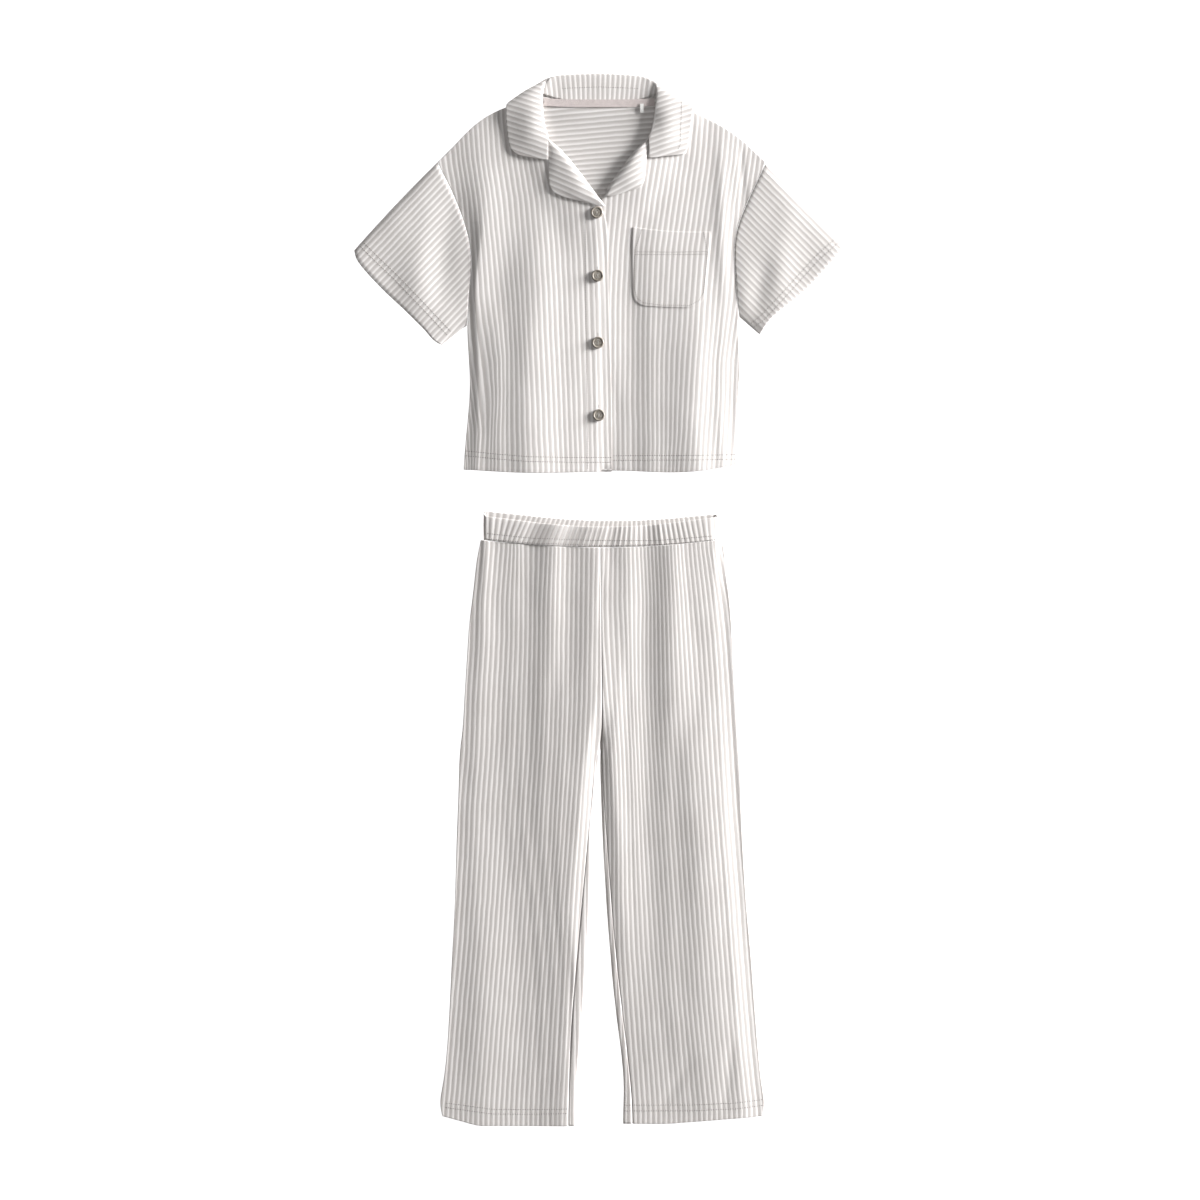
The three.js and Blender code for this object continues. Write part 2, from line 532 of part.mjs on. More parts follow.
// A sleeve is one flattened tube: its top layer, two folded edges and the layer beneath
function sleeve(armKey, cuff) {
  const steps = [0, 0.15, 0.32, 0.5, 0.68, 0.85, 1];
  const fold = SLEEVE_BEND;
  const outer = [];
  const inner = [];
  for (const t of steps) {
    const last = cuff.length - 1;
    const plan = ARMHOLE_ROWS.map((row, k) => {
      const start = row[armKey];
      const length = Math.hypot(cuff[k][0] - start[0], cuff[k][1] - start[1]);
      const [x, y] = planLerp(start, cuff[k], lerp(ARMHOLE_GAP / length, 1, t));
      return [x, y + SLEEVE_CROWN * Math.sin(Math.PI * t) * (1 - k / last) ** 3];
    });
    const span = Math.hypot(plan[last][0] - plan[0][0], plan[last][1] - plan[0][1]);
    const inward = [(plan[last][0] - plan[0][0]) / span, (plan[last][1] - plan[0][1]) / span];
    const shifted = (p, distance) => [p[0] + inward[0] * distance, p[1] + inward[1] * distance];
    const heights = plan.map(([x, y], k) => {
      const inset = Math.min(k, last - k) / last * span;
      const edge = Math.sin(Math.PI / 2 * clamp(inset / SLEEVE_ROUND, 0, 1));
      const folded = SLEEVE_LOFT.middle + foldRise(SLEEVE_FOLDS, x, y);
      const loft = clamp(folded, SLEEVE_LOFT.least, SLEEVE_LOFT.most);
      return FRONT_LEVEL + SLEEVE_LIFT + edge * loft * smoothstep(t, -0.25, 0.3);
    });
    const level = (BACK_LEVEL + FRONT_LEVEL + SLEEVE_LIFT) / 2;
    const ring = (side) => {
      const wall = side * HALF;
      const points = [point(shifted(plan[0], HALF - wall), level)];
      points.push(point(shifted(plan[0], fold + (HALF - wall) / 2), heights[0] + wall * 0.9));
      for (let k = 1; k < last; k += 1) {
        points.push(point(plan[k], heights[k] + wall));
      }
      points.push(point(shifted(plan[last], -fold - (HALF - wall) / 2), heights[last] + wall * 0.9));
      points.push(point(shifted(plan[last], wall - HALF), level));
      points.push(point(shifted(plan[last], -fold - (HALF - wall) / 2), BACK_LEVEL - wall));
      for (let k = last - 1; k > 0; k -= 1) {
        points.push(point(plan[k], BACK_LEVEL - wall));
      }
      points.push(point(shifted(plan[0], fold + (HALF - wall) / 2), BACK_LEVEL - wall));
      return points;
    };
    outer.push(ring(1));
    inner.push(ring(-1));
  }
  return wallGeometry(outer, inner, true);
}

// One station of the collar: stand, roll and fall, as points with the way each faces
function collarStation(station) {
  const roll = new THREE.Vector3(station.roll[0], station.roll[1], 0);
  const edge = new THREE.Vector3(station.edge[0], station.edge[1], 0);
  const seam = new THREE.Vector3(station.seam[0], station.seam[1], 0);
  const onFront = station.level === 0;
  const level = onFront ? frontHeight(station.roll[0], station.roll[1]) + COLLAR_LIFT : station.level;
  roll.z = level;
  edge.z = level;
  seam.z = level;
  const along = edge.clone().sub(roll);
  const length = along.length();
  along.normalize();
  const down = seam.clone().sub(roll);
  const standLength = down.length();
  down.normalize();
  const side = Math.sign(roll.x) || 1;
  const outward = new THREE.Vector3(-side * along.y, side * along.x, 0);
  const turn = degToRad(station.turn);
  const up = outward.multiplyScalar(Math.cos(turn)).setZ(Math.sin(turn)).normalize();
  const back = along.clone().add(down).normalize().negate();
  const place = (base, direction, distance, height) => base.clone().addScaledVector(direction, distance)
    .addScaledVector(up, height);
  const facing = (upShare, backShare) => up.clone().multiplyScalar(upShare)
    .addScaledVector(back, backShare).normalize();
  const near = Math.min(1.2, standLength * 0.6);
  const profile = [
    { at: place(roll, down, standLength, -COLLAR_FOLD), out: facing(-1, 0) },
    { at: place(roll, down, (standLength + near) / 2, -COLLAR_FOLD), out: facing(-1, 0) },
    { at: place(roll, down, near, -COLLAR_FOLD), out: facing(-1, 0.15) },
    { at: place(roll, down, 0.3, -0.75 * COLLAR_FOLD), out: facing(-1, 1) },
    { at: place(roll, along, 0, 0), out: facing(0, 1) },
    { at: place(roll, along, 0.3, 0.75 * COLLAR_FOLD), out: facing(1, 1) },
    { at: place(roll, along, 1.4, COLLAR_FOLD), out: facing(1, 0.15) },
  ];
  for (const t of [0.25, 0.5, 0.75, 1]) {
    const arch = station.bow * Math.sin(Math.PI * Math.min(1, 0.12 + 0.88 * t));
    const at = place(roll, along, length * t, COLLAR_FOLD + arch);
    if (onFront) {
      const seat = frontHeight(at.x, at.y) + COLLAR_SEAT;
      at.z = lerp(at.z, seat + arch, smoothstep(t, 0.1, 1));
      at.z = Math.max(at.z, seat);
    }
    profile.push({ at, out: facing(1, 0) });
  }
  return profile;
}

function collar() {
  const stations = [...COLLAR_RIGHT, COLLAR_MIDDLE, ...COLLAR_LEFT.toReversed()].map(collarStation);
  const face = (side) => stations.map((profile) => profile.map(({ at, out }) => at.clone()
    .addScaledVector(out, side * COLLAR_HALF)));
  return wallGeometry(face(1), face(-1));
}

// A lapel starts in front of its front's folded edge, rolls over it and lies on the panel
function lapel(rows, lift) {
  const outer = [];
  const inner = [];
  rows.forEach((row, r) => {
    const width = Math.hypot(row.outer[0] - row.roll[0], row.outer[1] - row.roll[1]);
    const middleShare = Math.sin(Math.PI * r / (rows.length - 1));
    const arch = 0.4 + 2.2 * middleShare;
    const planAt = (distance) => planLerp(row.roll, row.outer, distance / width);
    const sections = [
      { distance: 0.65, height: 0.2, out: [-1, 0] },
      { distance: 0.75, height: 1.1, out: [-0.95, 0.3] },
      { distance: 1.5, height: 1.9 + 0.2 * arch, out: [-0.6, 0.8] },
    ];
    for (const t of [0.16, 0.34, 0.56, 0.78, 1]) {
      const rise = OVERLAY + 0.1 + arch * Math.sin(Math.PI * (0.25 + 0.75 * t));
      sections.push({ distance: Math.max(width * t, 2.1 + t), height: rise, out: [0, 1] });
    }
    const seat = r >= rows.length - 3 ? OVERLAY : 0;
    const face = (side) => sections.map(({ distance, height, out }) => {
      const [x, y] = planAt(Math.min(distance, width) + side * HALF * out[0]);
      const base = frontHeight(...planAt(Math.min(distance, width))) + lift(x);
      return new THREE.Vector3(x, y, base + Math.max(height, seat) + side * HALF * out[1]);
    });
    outer.push(face(1));
    inner.push(face(-1));
  });
  return wallGeometry(outer, inner);
}

function backNeckFacing() {
  const columns = 12;
  const foot = (x) => FACING_CENTRE_Y - FACING_REACH_Y * Math.sqrt(1 - (x / FACING_REACH_X) ** 2);
  const rows = [0, 0.25, 0.5, 0.75, 1].map((share) => (x) => lerp(foot(x), backLine(x, RAISE_FOOT), share));
  rows.push((x) => backLine(x, RAISE_HEAD));
  rows.push((x) => Math.min(neckline(x), FACING_SHOULDER_Y) - SEAM_GAP);
  const middle = rows.map((rowY) => {
    const line = [];
    for (let c = 0; c <= columns; c += 1) {
      const x = (c / columns - 0.5) * FACING_WIDTH;
      const y = rowY(x);
      line.push(new THREE.Vector3(x, y, BACK_LEVEL + neckRaise(x, y) + OVERLAY + 0.1));
    }
    return line;
  });
  return sheetGeometry(middle);
}

function tapeMiddle(x) {
  return NECK_DEPTH_Y - 0.3 + 2.5 * (Math.abs(x) / NECK_POINT_X) ** 4;
}

const TAPE_LEVEL = BACK_LEVEL + NECK_RAISE + OVERLAY + HALF + SEAM_GAP + TAPE_CLOTH / 2;

function neckTape() {
  const columns = 14;
  const middle = [-0.5, 0, 0.5].map((side) => {
    const line = [];
    for (let c = 0; c <= columns; c += 1) {
      const x = lerp(TAPE_ENDS[0], TAPE_ENDS[1], c / columns);
      line.push(new THREE.Vector3(x, tapeMiddle(x) + side * TAPE_WIDTH, TAPE_LEVEL));
    }
    return line;
  });
  return sheetGeometry(middle, () => TAPE_CLOTH);
}

function neckLoopTab() {
  const lift = (TAPE_CLOTH + LOOP_SIZE.cloth) / 2 + SEAM_GAP;
  const middle = [0, 0.4, 0.6, 1].map((t) => [-0.5, 0.5].map((side) => new THREE.Vector3(
    LOOP_SIZE.x + side * LOOP_SIZE.width,
    LOOP_SIZE.top - t * LOOP_SIZE.length,
    TAPE_LEVEL + lift - 0.8 * smoothstep(t, 0.5, 1),
  )));
  return sheetGeometry(middle, () => LOOP_SIZE.cloth);
}

function chestPocket() {
  const columns = 10;
  const middle = POCKET_ROWS.map((row) => {
    const line = [];
    for (let c = 0; c <= columns; c += 1) {
      const u = c / columns;
      const [x, yLine] = planLerp(row.left, row.right, u);
      const y = yLine + row.bow * Math.sin(Math.PI * u) ** 0.8;
      line.push(new THREE.Vector3(x, y, frontHeight(x, y) + HALF + row.cloth / 2 + 2.2 * SEAM_GAP));
    }
    return line;
  });
  return sheetGeometry(middle, (r) => POCKET_ROWS[r].cloth);
}

function manifoldOf(geometry) {
  const plain = geometry.clone();
  plain.deleteAttribute('normal');
  plain.deleteAttribute('uv');
  const merged = mergeVertices(plain);
  return new wasm.Manifold(new wasm.Mesh({
    numProp: 3,
    vertProperties: merged.attributes.position.array,
    triVerts: Uint32Array.from(merged.index.array),
  }));
}

function geometryOf(solid) {
  const mesh = solid.getMesh();
  const geometry = new THREE.BufferGeometry();
  geometry.setAttribute('position', new THREE.BufferAttribute(mesh.vertProperties, 3));
  geometry.setIndex(new THREE.BufferAttribute(mesh.triVerts, 1));
  geometry.computeVertexNormals();
  return geometry;
}

// A sew-through button with a raised rim, a dished face and two holes
function buttonGeometry() {
  const { radius, thickness, rim, holeRadius, holeSpacing } = BUTTON;
  const profile = [
    [0, 0],
    [radius - rim, 0],
    [radius, 0.8],
    [radius, thickness - 0.6],
    [radius - 0.6, thickness],
    [radius - 1.7, thickness],
    [radius - 3, thickness - 0.8],
    [0, thickness - 0.7],
  ].map(([r, z]) => new THREE.Vector2(r, z));
  const disc = new THREE.LatheGeometry(profile, 16).rotateX(Math.PI / 2);
  let solid = manifoldOf(disc);
  for (const side of [-1, 1]) {
    const hole = new THREE.CylinderGeometry(holeRadius, holeRadius, 4 * thickness, 6).rotateX(Math.PI / 2);
    solid = solid.subtract(manifoldOf(hole.translate(0, side * holeSpacing / 2, 0)));
  }
  return geometryOf(solid);
}

function dippedLine({ middle, dip, reach, tilt }, x) {
  const share = x / reach;
  return middle + tilt * share + dip * share ** 2;
}

// Middle height of a trouser front
function trouserHeight(x, y) {
  return FRONT_LEVEL + formRise(TROUSER_FORM, x, y);
}

const TROUSER_COLUMNS = 19;

// The first row follows the waist seam and the last one the hem, which rises towards the side seam.
// The rows between ease back to straight.
function trouserY(row, x) {
  const leg = row.side < 0 ? 'right' : 'left';
  const waist = dippedLine(WAIST_SEAM, x) - WAIST_SEAM.middle;
  const hem = HEM_SLOPE[leg] * Math.max(0, Math.abs(x) - HEM_START[leg]);
  return row.y + waist * smoothstep(row.y, -40, 65) + hem * (1 - smoothstep(row.y, -655, HEM_EASE));
}

// Where a row's front and back panels meet, and the curl of the back panel that takes it there
function trouserCurl(row) {
  const side = Math.sign(row.side);
  const top = trouserHeight(row.seam, row.y);
  const radius = (top - BACK_LEVEL) / 2;
  const edge = row.inner + side * SEAM_GAP / 2;
  const bend = edge + side * (HALF + radius);
  const seam = row.curl ? side * Math.max(side * row.seam, side * bend + 0.5) : row.seam;
  return { side, top, radius, edge, bend, seam };
}

function trouserFront(rows) {
  const middle = rows.map((row) => {
    const { side, seam } = trouserCurl(row);
    const line = [];
    for (let c = 0; c < TROUSER_COLUMNS; c += 1) {
      const x = lerp(row.side, seam + side * SEAM_GAP / 2, c / (TROUSER_COLUMNS - 1));
      line.push(new THREE.Vector3(x, trouserY(row, x) - SEAM_GAP, trouserHeight(x, row.y)));
    }
    return line;
  });
  return sheetGeometry(middle);
}

// The back panel lies flat and, below the crotch, curls round the leg's inner edge to the inner-leg seam
function trouserBack(rows) {
  const flatShares = [0, 0.1, 0.4, 0.7, 1];
  const arc = [36, 72, 108, 144, 180];
  const face = (wall) => rows.map((row) => {
    const { side, top, radius, edge, bend, seam } = trouserCurl(row);
    const flatEnd = row.curl ? bend : edge + side * SELVEDGE;
    const profile = flatShares.map((u) => [lerp(row.side, flatEnd, u), BACK_LEVEL - wall]);
    arc.forEach((degrees, k) => {
      const angle = degToRad(degrees);
      const reach = radius + wall;
      const curled = [bend - side * reach * Math.sin(angle), top - radius - reach * Math.cos(angle)];
      const flat = [flatEnd - side * SELVEDGE * (k + 1) / (arc.length + 1), BACK_LEVEL - wall];
      profile.push(row.curl ? curled : flat);
    });
    profile.push(row.curl ? [seam - side * SEAM_GAP, top + wall] : [edge, BACK_LEVEL - wall]);
    return profile.map(([x, z]) => new THREE.Vector3(x, trouserY(row, x) - SEAM_GAP, z));
  });
  return wallGeometry(face(HALF), face(-HALF));
}

// The waistband is a flattened ring. Its gathers are raised in the outer points of the upper layer only.
function waistband() {
  const wall = BAND_WALL / 2;
  const backLevel = wall;
  const frontLevel = backLevel + BAND_WALL + BAND_HOLLOW;
  const bend = (frontLevel - backLevel) / 2;
  const middleZ = backLevel + bend;
  const frontTop = (x) => dippedLine(BAND_FRONT_TOP, x);
  const backTopLine = (x) => dippedLine(BAND_BACK_TOP, x);
  const ring = [];
  const steps = BAND_GATHERS * 2;
  for (let k = 0; k <= steps; k += 1) {
    const x = lerp(BAND_LEFT + wall + bend, BAND_RIGHT - wall - bend, k / steps);
    ring.push({ x, z: frontLevel, out: [0, 1], gather: k % 2 === 0 ? GATHER_RISE : -0.1, top: frontTop(x) });
  }
  const bendPoints = (centre, side, angles) => angles.map((degrees) => {
    const angle = degToRad(degrees);
    const out = [side * Math.cos(angle), Math.sin(angle)];
    const x = centre + bend * out[0];
    const top = lerp(backTopLine(x), frontTop(x), (1 + out[1]) / 2);
    return { x, z: middleZ + bend * out[1], out, gather: 0.2, top };
  });
  ring.push(...bendPoints(BAND_RIGHT - wall - bend, 1, [45, 0, -45]));
  const backSteps = 16;
  for (let k = 0; k <= backSteps; k += 1) {
    const x = lerp(BAND_RIGHT - wall - bend, BAND_LEFT + wall + bend, k / backSteps);
    ring.push({ x, z: backLevel, out: [0, -1], gather: 0, top: backTopLine(x) });
  }
  ring.push(...bendPoints(BAND_LEFT + wall + bend, -1, [-45, 0, 45]));
  const levels = [
    { share: 0, wall: 0.75, gather: 0.55 },
    { share: 0.3, wall: 0.95, gather: 0.9 },
    { share: 0.88, wall: 1, gather: 1 },
    { share: 1, wall: 0.55, gather: 0.5 },
  ];
  const face = (side) => levels.map((level) => ring.map((p) => {
    const flatBack = p.out[1] === -1 && side > 0;
    const depth = flatBack ? wall : side * wall * level.wall + (side > 0 ? p.gather * level.gather : 0);
    const y = lerp(dippedLine(WAIST_SEAM, p.x) + SEAM_GAP, p.top, level.share);
    return new THREE.Vector3(p.x + p.out[0] * depth, y, p.z + p.out[1] * depth);
  }));
  return wallGeometry(face(1), face(-1), true);
}

const set = new THREE.Group();

function add(parent, name, geometry, colour, roughness) {
  const material = clothMaterial(colour);
  material.roughness = roughness ?? material.roughness;
  const mesh = new THREE.Mesh(geometry, material);
  mesh.name = name;
  parent.add(mesh);
  return mesh;
}

const noLift = () => 0;

const shirt = new THREE.Group();
add(shirt, 'shirt_back', backPanel(), COLOURS.jersey);
add(shirt, 'shirt_front_left', frontPanel(FRONT_LEFT, noLift), COLOURS.jersey);
add(shirt, 'shirt_front_right', frontPanel(FRONT_RIGHT, lapLift), COLOURS.jersey);
add(shirt, 'sleeve_right', sleeve('left', CUFF_RIGHT), COLOURS.jersey);
add(shirt, 'sleeve_left', sleeve('right', CUFF_LEFT), COLOURS.jersey);
add(shirt, 'collar', collar(), COLOURS.jersey);
add(shirt, 'lapel_right', lapel(LAPEL_RIGHT, lapLift), COLOURS.jersey);
add(shirt, 'lapel_left', lapel(LAPEL_LEFT, noLift), COLOURS.jersey);
add(shirt, 'back_neck_facing', backNeckFacing(), COLOURS.jersey);
add(shirt, 'neck_tape', neckTape(), COLOURS.tape);
add(shirt, 'neck_loop_tab', neckLoopTab(), COLOURS.loop);
add(shirt, 'chest_pocket', chestPocket(), COLOURS.jersey);

const buttonShape = buttonGeometry();
BUTTON_PLACES.forEach(({ x, y }, k) => {
  const button = add(shirt, `button_${k + 1}`, buttonShape, COLOURS.button, 0.45);
  button.position.set(x, y, frontHeight(x, y) + lapLift(x) + HALF + SEAM_GAP + 0.15);
});
set.add(shirt);

const trousers = new THREE.Group();
add(trousers, 'waistband', waistband(), COLOURS.jersey);
add(trousers, 'trouser_front_right', trouserFront(TROUSER_RIGHT_LEG), COLOURS.jersey);
add(trousers, 'trouser_front_left', trouserFront(TROUSER_LEFT_LEG), COLOURS.jersey);
add(trousers, 'trouser_back_right', trouserBack(TROUSER_RIGHT_LEG), COLOURS.jersey);
add(trousers, 'trouser_back_left', trouserBack(TROUSER_LEFT_LEG), COLOURS.jersey);
set.add(trousers);

export default set;
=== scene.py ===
"""Dresses the child's pyjama set, laid flat: striped jersey, seams, stitching, buttons, studio and camera."""
import logging
import math
from abc import ABC, abstractmethod
from dataclasses import dataclass
from enum import Enum

import bmesh
import bpy
import numpy as np
from mathutils import Matrix, Vector
from mathutils.bvhtree import BVHTree


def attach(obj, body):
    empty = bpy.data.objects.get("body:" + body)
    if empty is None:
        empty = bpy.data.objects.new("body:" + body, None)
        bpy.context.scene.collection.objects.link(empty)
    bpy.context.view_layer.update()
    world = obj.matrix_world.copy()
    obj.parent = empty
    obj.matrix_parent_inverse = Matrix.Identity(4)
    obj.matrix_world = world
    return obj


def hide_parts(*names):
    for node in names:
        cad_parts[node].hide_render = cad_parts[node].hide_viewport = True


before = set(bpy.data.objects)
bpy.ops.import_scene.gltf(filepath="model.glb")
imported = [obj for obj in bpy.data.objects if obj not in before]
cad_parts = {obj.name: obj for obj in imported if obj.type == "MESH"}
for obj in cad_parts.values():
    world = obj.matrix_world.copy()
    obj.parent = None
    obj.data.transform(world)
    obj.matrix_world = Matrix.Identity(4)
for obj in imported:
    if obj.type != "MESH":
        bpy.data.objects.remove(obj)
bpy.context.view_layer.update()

log = logging.getLogger("pyjama_set")

# Lengths are in metres, and a photo pixel has the same real size everywhere because the set lies flat.
MM = 0.001
PIXEL = 1.25 * MM
PHOTO_CENTRE = (600.0, 599.5)
PHOTO_WIDTH = 1200
STRIPE = 6.4 * MM
PRESSED_SHARE = 0.4
CLOTH_GAP = 0.1 * MM
THREAD_PITCH = 0.3 * MM
LOOKED_FROM = 0.2
MERGED_WITHIN = 0.002 * MM
RIM_ANGLE = math.radians(55)
SHARP_ANGLE = math.radians(50)
RIM_CREASE = 0.8
UV_NAME = "weave"
WHITE = (1.0, 1.0, 1.0)

Socket = bpy.types.NodeSocket
Values = tuple[float, ...]
Triple = tuple[float, float, float]
Colour = Triple
Point = tuple[float, float]
Line = tuple[Point, ...]


def across(column: float | np.ndarray) -> float | np.ndarray:
    """Gives the metres to the viewer's right of a photo column.

    Args:
        column: A position across the photo, in its pixels.

    Returns:
        The same place in metres from the middle.
    """
    return (column - PHOTO_CENTRE[0]) * PIXEL


def up_from(row: float | np.ndarray) -> float | np.ndarray:
    """Gives the metres towards the collar of a photo row.

    Args:
        row: A position down the photo, in its pixels.

    Returns:
        The same place in metres from the middle.
    """
    return (PHOTO_CENTRE[1] - row) * PIXEL


class Held(Enum):
    """How a sheet of cloth is held."""

    LAID = "laid"
    GATHERED = "gathered"


class Follows(Enum):
    """What a piece of cloth does with its garment's folds."""

    FORM = "the folds are its own: its solid's are taken out and drawn again, finer"
    CARRIER = "it lies on such a piece, and moves by what that one gained"
    CREASES = "it takes only the fine creases"
    NOTHING = "it keeps its solid's form"


class Shader:
    """A material's node tree, with short ways to add and join its nodes."""

    def __init__(self, name: str) -> None:
        """Starts a material.

        Args:
            name: The material's name.
        """
        self.material = bpy.data.materials.new(name)
        self.material.use_nodes = True
        self.tree = self.material.node_tree
        self.surface = self.tree.nodes["Principled BSDF"]

    def node(self, kind: str, **settings: object) -> bpy.types.Node:
        """Adds a node.

        Args:
            kind: The node's type.
            settings: Its properties.

        Returns:
            The node.
        """
        made = self.tree.nodes.new(kind)
        for key, value in settings.items():
            setattr(made, key, value)
        return made

    def join(self, source: Socket, target: Socket) -> None:
        """Links two sockets."""
        self.tree.links.new(source, target)

    def math(self, operation: str, a: object, b: object = None) -> Socket:
        """Adds a Math node.

        Args:
            operation: Its operation.
            a: A socket or number.
            b: A second socket or number.

        Returns:
            The node's result.
        """
        made = self.node("ShaderNodeMath", operation=operation)
        for slot, value in enumerate((a, b)):
            if isinstance(value, Socket):
                self.join(value, made.inputs[slot])
            elif value is not None:
                made.inputs[slot].default_value = value
        return made.outputs[0]

    def wave(self, place: Socket, pitch: float) -> Socket:
        """Gives the sine of a coordinate, with its pitch in metres."""
        return self.math("SINE", self.math("MULTIPLY", place, 2 * math.pi / pitch))

    def parts(self, vector: Socket) -> bpy.types.bpy_prop_collection:
        """Splits a vector.

        Args:
            vector: The vector.

        Returns:
            Its three coordinates.
        """
        made = self.node("ShaderNodeSeparateXYZ")
        self.join(vector, made.inputs[0])
        return made.outputs

    def ramp(self, factor: Socket, stops: list[tuple[float, Colour]],
             smooth: bool = False) -> Socket:
        """Adds a colour ramp.

        Args:
            factor: What drives it.
            stops: Positions with their colours.
            smooth: Whether it eases between them.

        Returns:
            The ramp's colour.
        """
        made = self.node("ShaderNodeValToRGB")
        made.color_ramp.interpolation = "EASE" if smooth else "LINEAR"
        elements = made.color_ramp.elements
        while len(elements) < len(stops):
            elements.new(0.5)
        for element, (position, colour) in zip(elements, stops):
            element.position = position
            element.color = (*colour, 1.0)
        self.join(factor, made.inputs["Fac"])
        return made.outputs["Color"]

    def noise(self, vector: Socket, scale: float, detail: float = 2.0) -> Socket:
        """Adds noise.

        Args:
            vector: Its coordinates.
            scale: Its scale.
            detail: Its detail.

        Returns:
            The noise from 0 to 1.
        """
        made = self.node("ShaderNodeTexNoise")
        made.inputs["Scale"].default_value = scale
        made.inputs["Detail"].default_value = detail
        self.join(vector, made.inputs["Vector"])
        return made.outputs["Fac"]

    def mix(self, factor: object, a: object, b: object, blend: str = "MIX") -> Socket:
        """Mixes two colours.

        Args:
            factor: A socket or number.
            a: A socket or colour.
            b: A socket or colour.
            blend: The way of mixing.

        Returns:
            The mixed colour.
        """
        made = self.node("ShaderNodeMix", data_type="RGBA", blend_type=blend)
        for socket, value in ((made.inputs[0], factor), (made.inputs[6], a), (made.inputs[7], b)):
            if isinstance(value, Socket):
                self.join(value, socket)
            elif isinstance(value, tuple):
                socket.default_value = (*value, 1.0)
            else:
                socket.default_value = value
        return made.outputs[2]

    def bump(self, height: Socket, distance: float, strength: float,
             before: Socket | None = None) -> Socket:
        """Adds a bump.

        Args:
            height: What drives it.
            distance: How deep it is, in metres.
            strength: Its strength.
            before: The normal that it starts from.

        Returns:
            The bumped normal.
        """
        made = self.node("ShaderNodeBump")
        made.inputs["Distance"].default_value = distance
        made.inputs["Strength"].default_value = strength
        self.join(height, made.inputs["Height"])
        if before is not None:
            self.join(before, made.inputs["Normal"])
        return made.outputs["Normal"]

    def finish(self, settings: dict[str, float | Colour]) -> bpy.types.Material:
        """Sets the surface's constant inputs.

        Args:
            settings: Each input's value.

        Returns:
            The finished material.
        """
        for key, value in settings.items():
            socket = self.surface.inputs[key]
            socket.default_value = (*value, 1.0) if isinstance(value, tuple) else value
        return self.material


@dataclass(frozen=True)
class StripedJersey:
    """Fine jersey with an off-white stripe and a warm grey one. The grey is the cloth's own, with the rib
    groove's shade painted in where it is deepest, and it lightens where the rib rises.
    """

    name: str
    white: Colour = (0.75, 0.726, 0.712)
    shaded_grey: Colour = (0.49, 0.462, 0.447)
    light: Colour = (0.615, 0.588, 0.573)
    wale: float = 0.55 * MM
    course: float = 0.42 * MM

    def material(self) -> bpy.types.Material:
        """Makes the material.

        Returns:
            The material, which reads the piece's own UV map in metres.
        """
        shader = Shader(self.name)
        parts = shader.parts(shader.node("ShaderNodeUVMap", uv_map=UV_NAME).outputs["UV"])
        solid = shader.node("ShaderNodeTexCoord").outputs["Object"]
        wander = shader.math("MULTIPLY", shader.math("SUBTRACT", shader.noise(solid, 60.0), 0.5), 0.16)
        count = shader.math("ADD", shader.math("DIVIDE", parts[0], STRIPE), wander)
        share = shader.math("FRACT", count)
        # The grey stripe's fade, deepest in the rib's groove and lighter where the rib rises, is the cloth's
        # grey with the groove's shade painted in.
        stripe = shader.ramp(share, [
            (0.0, self.white), (0.12, self.white), (0.31, self.shaded_grey), (0.50, self.shaded_grey),
            (0.80, self.light), (0.94, self.white), (1.0, self.white),
        ], smooth=True)
        blotch = shader.ramp(shader.noise(solid, 26.0, 3.0), [(0.3, (0.90, 0.885, 0.875)), (0.7, WHITE)])
        fibre = shader.noise(solid, 1500.0, 3.0)
        heather = shader.ramp(fibre, [(0.3, (0.90, 0.89, 0.88)), (0.7, WHITE)])
        toned = shader.mix(0.35, stripe, blotch, "MULTIPLY")
        shader.join(shader.mix(0.6, toned, heather, "MULTIPLY"), shader.surface.inputs["Base Color"])
        courses = shader.math("MULTIPLY", shader.wave(parts[1], self.course), 0.5)
        knit = shader.math("ADD", shader.wave(parts[0], self.wale), courses)
        rib = shader.ramp(share, [
            (0.0, WHITE), (0.16, (0.9, 0.9, 0.9)), (0.28, (0.1, 0.1, 0.1)), (0.6, (0.25, 0.25, 0.25)),
            (0.9, (0.9, 0.9, 0.9)), (1.0, WHITE),
        ])
        normal = shader.bump(rib, 0.25 * MM, 0.5)
        normal = shader.bump(knit, 0.05 * MM, 0.3, normal)
        normal = shader.bump(fibre, 0.12 * MM, 0.35, normal)
        shader.join(normal, shader.surface.inputs["Normal"])
        return shader.finish({"Roughness": 0.92, "Specular IOR Level": 0.2, "Sheen Weight": 0.12,
                              "Sheen Roughness": 0.5})


@dataclass(frozen=True)
class PlainWeave:
    """A plain woven tape, ribbon or thread."""

    name: str
    colour: Colour
    pitch: float = 0.6 * MM

    def material(self) -> bpy.types.Material:
        """Makes the material.

        Returns:
            The material, which reads Object coordinates.
        """
        shader = Shader(self.name)
        solid = shader.node("ShaderNodeTexCoord").outputs["Object"]
        parts = shader.parts(solid)
        weave = shader.math("MULTIPLY", shader.wave(parts[0], self.pitch), shader.wave(parts[1], self.pitch))
        dusk = tuple(0.88 * channel for channel in self.colour)
        cloud = shader.ramp(shader.noise(solid, 180.0, 3.0), [(0.3, dusk), (0.7, self.colour)])
        shader.join(cloud, shader.surface.inputs["Base Color"])
        shader.join(shader.bump(weave, 0.06 * MM, 0.5), shader.surface.inputs["Normal"])
        return shader.finish({"Roughness": 0.8, "Specular IOR Level": 0.25})


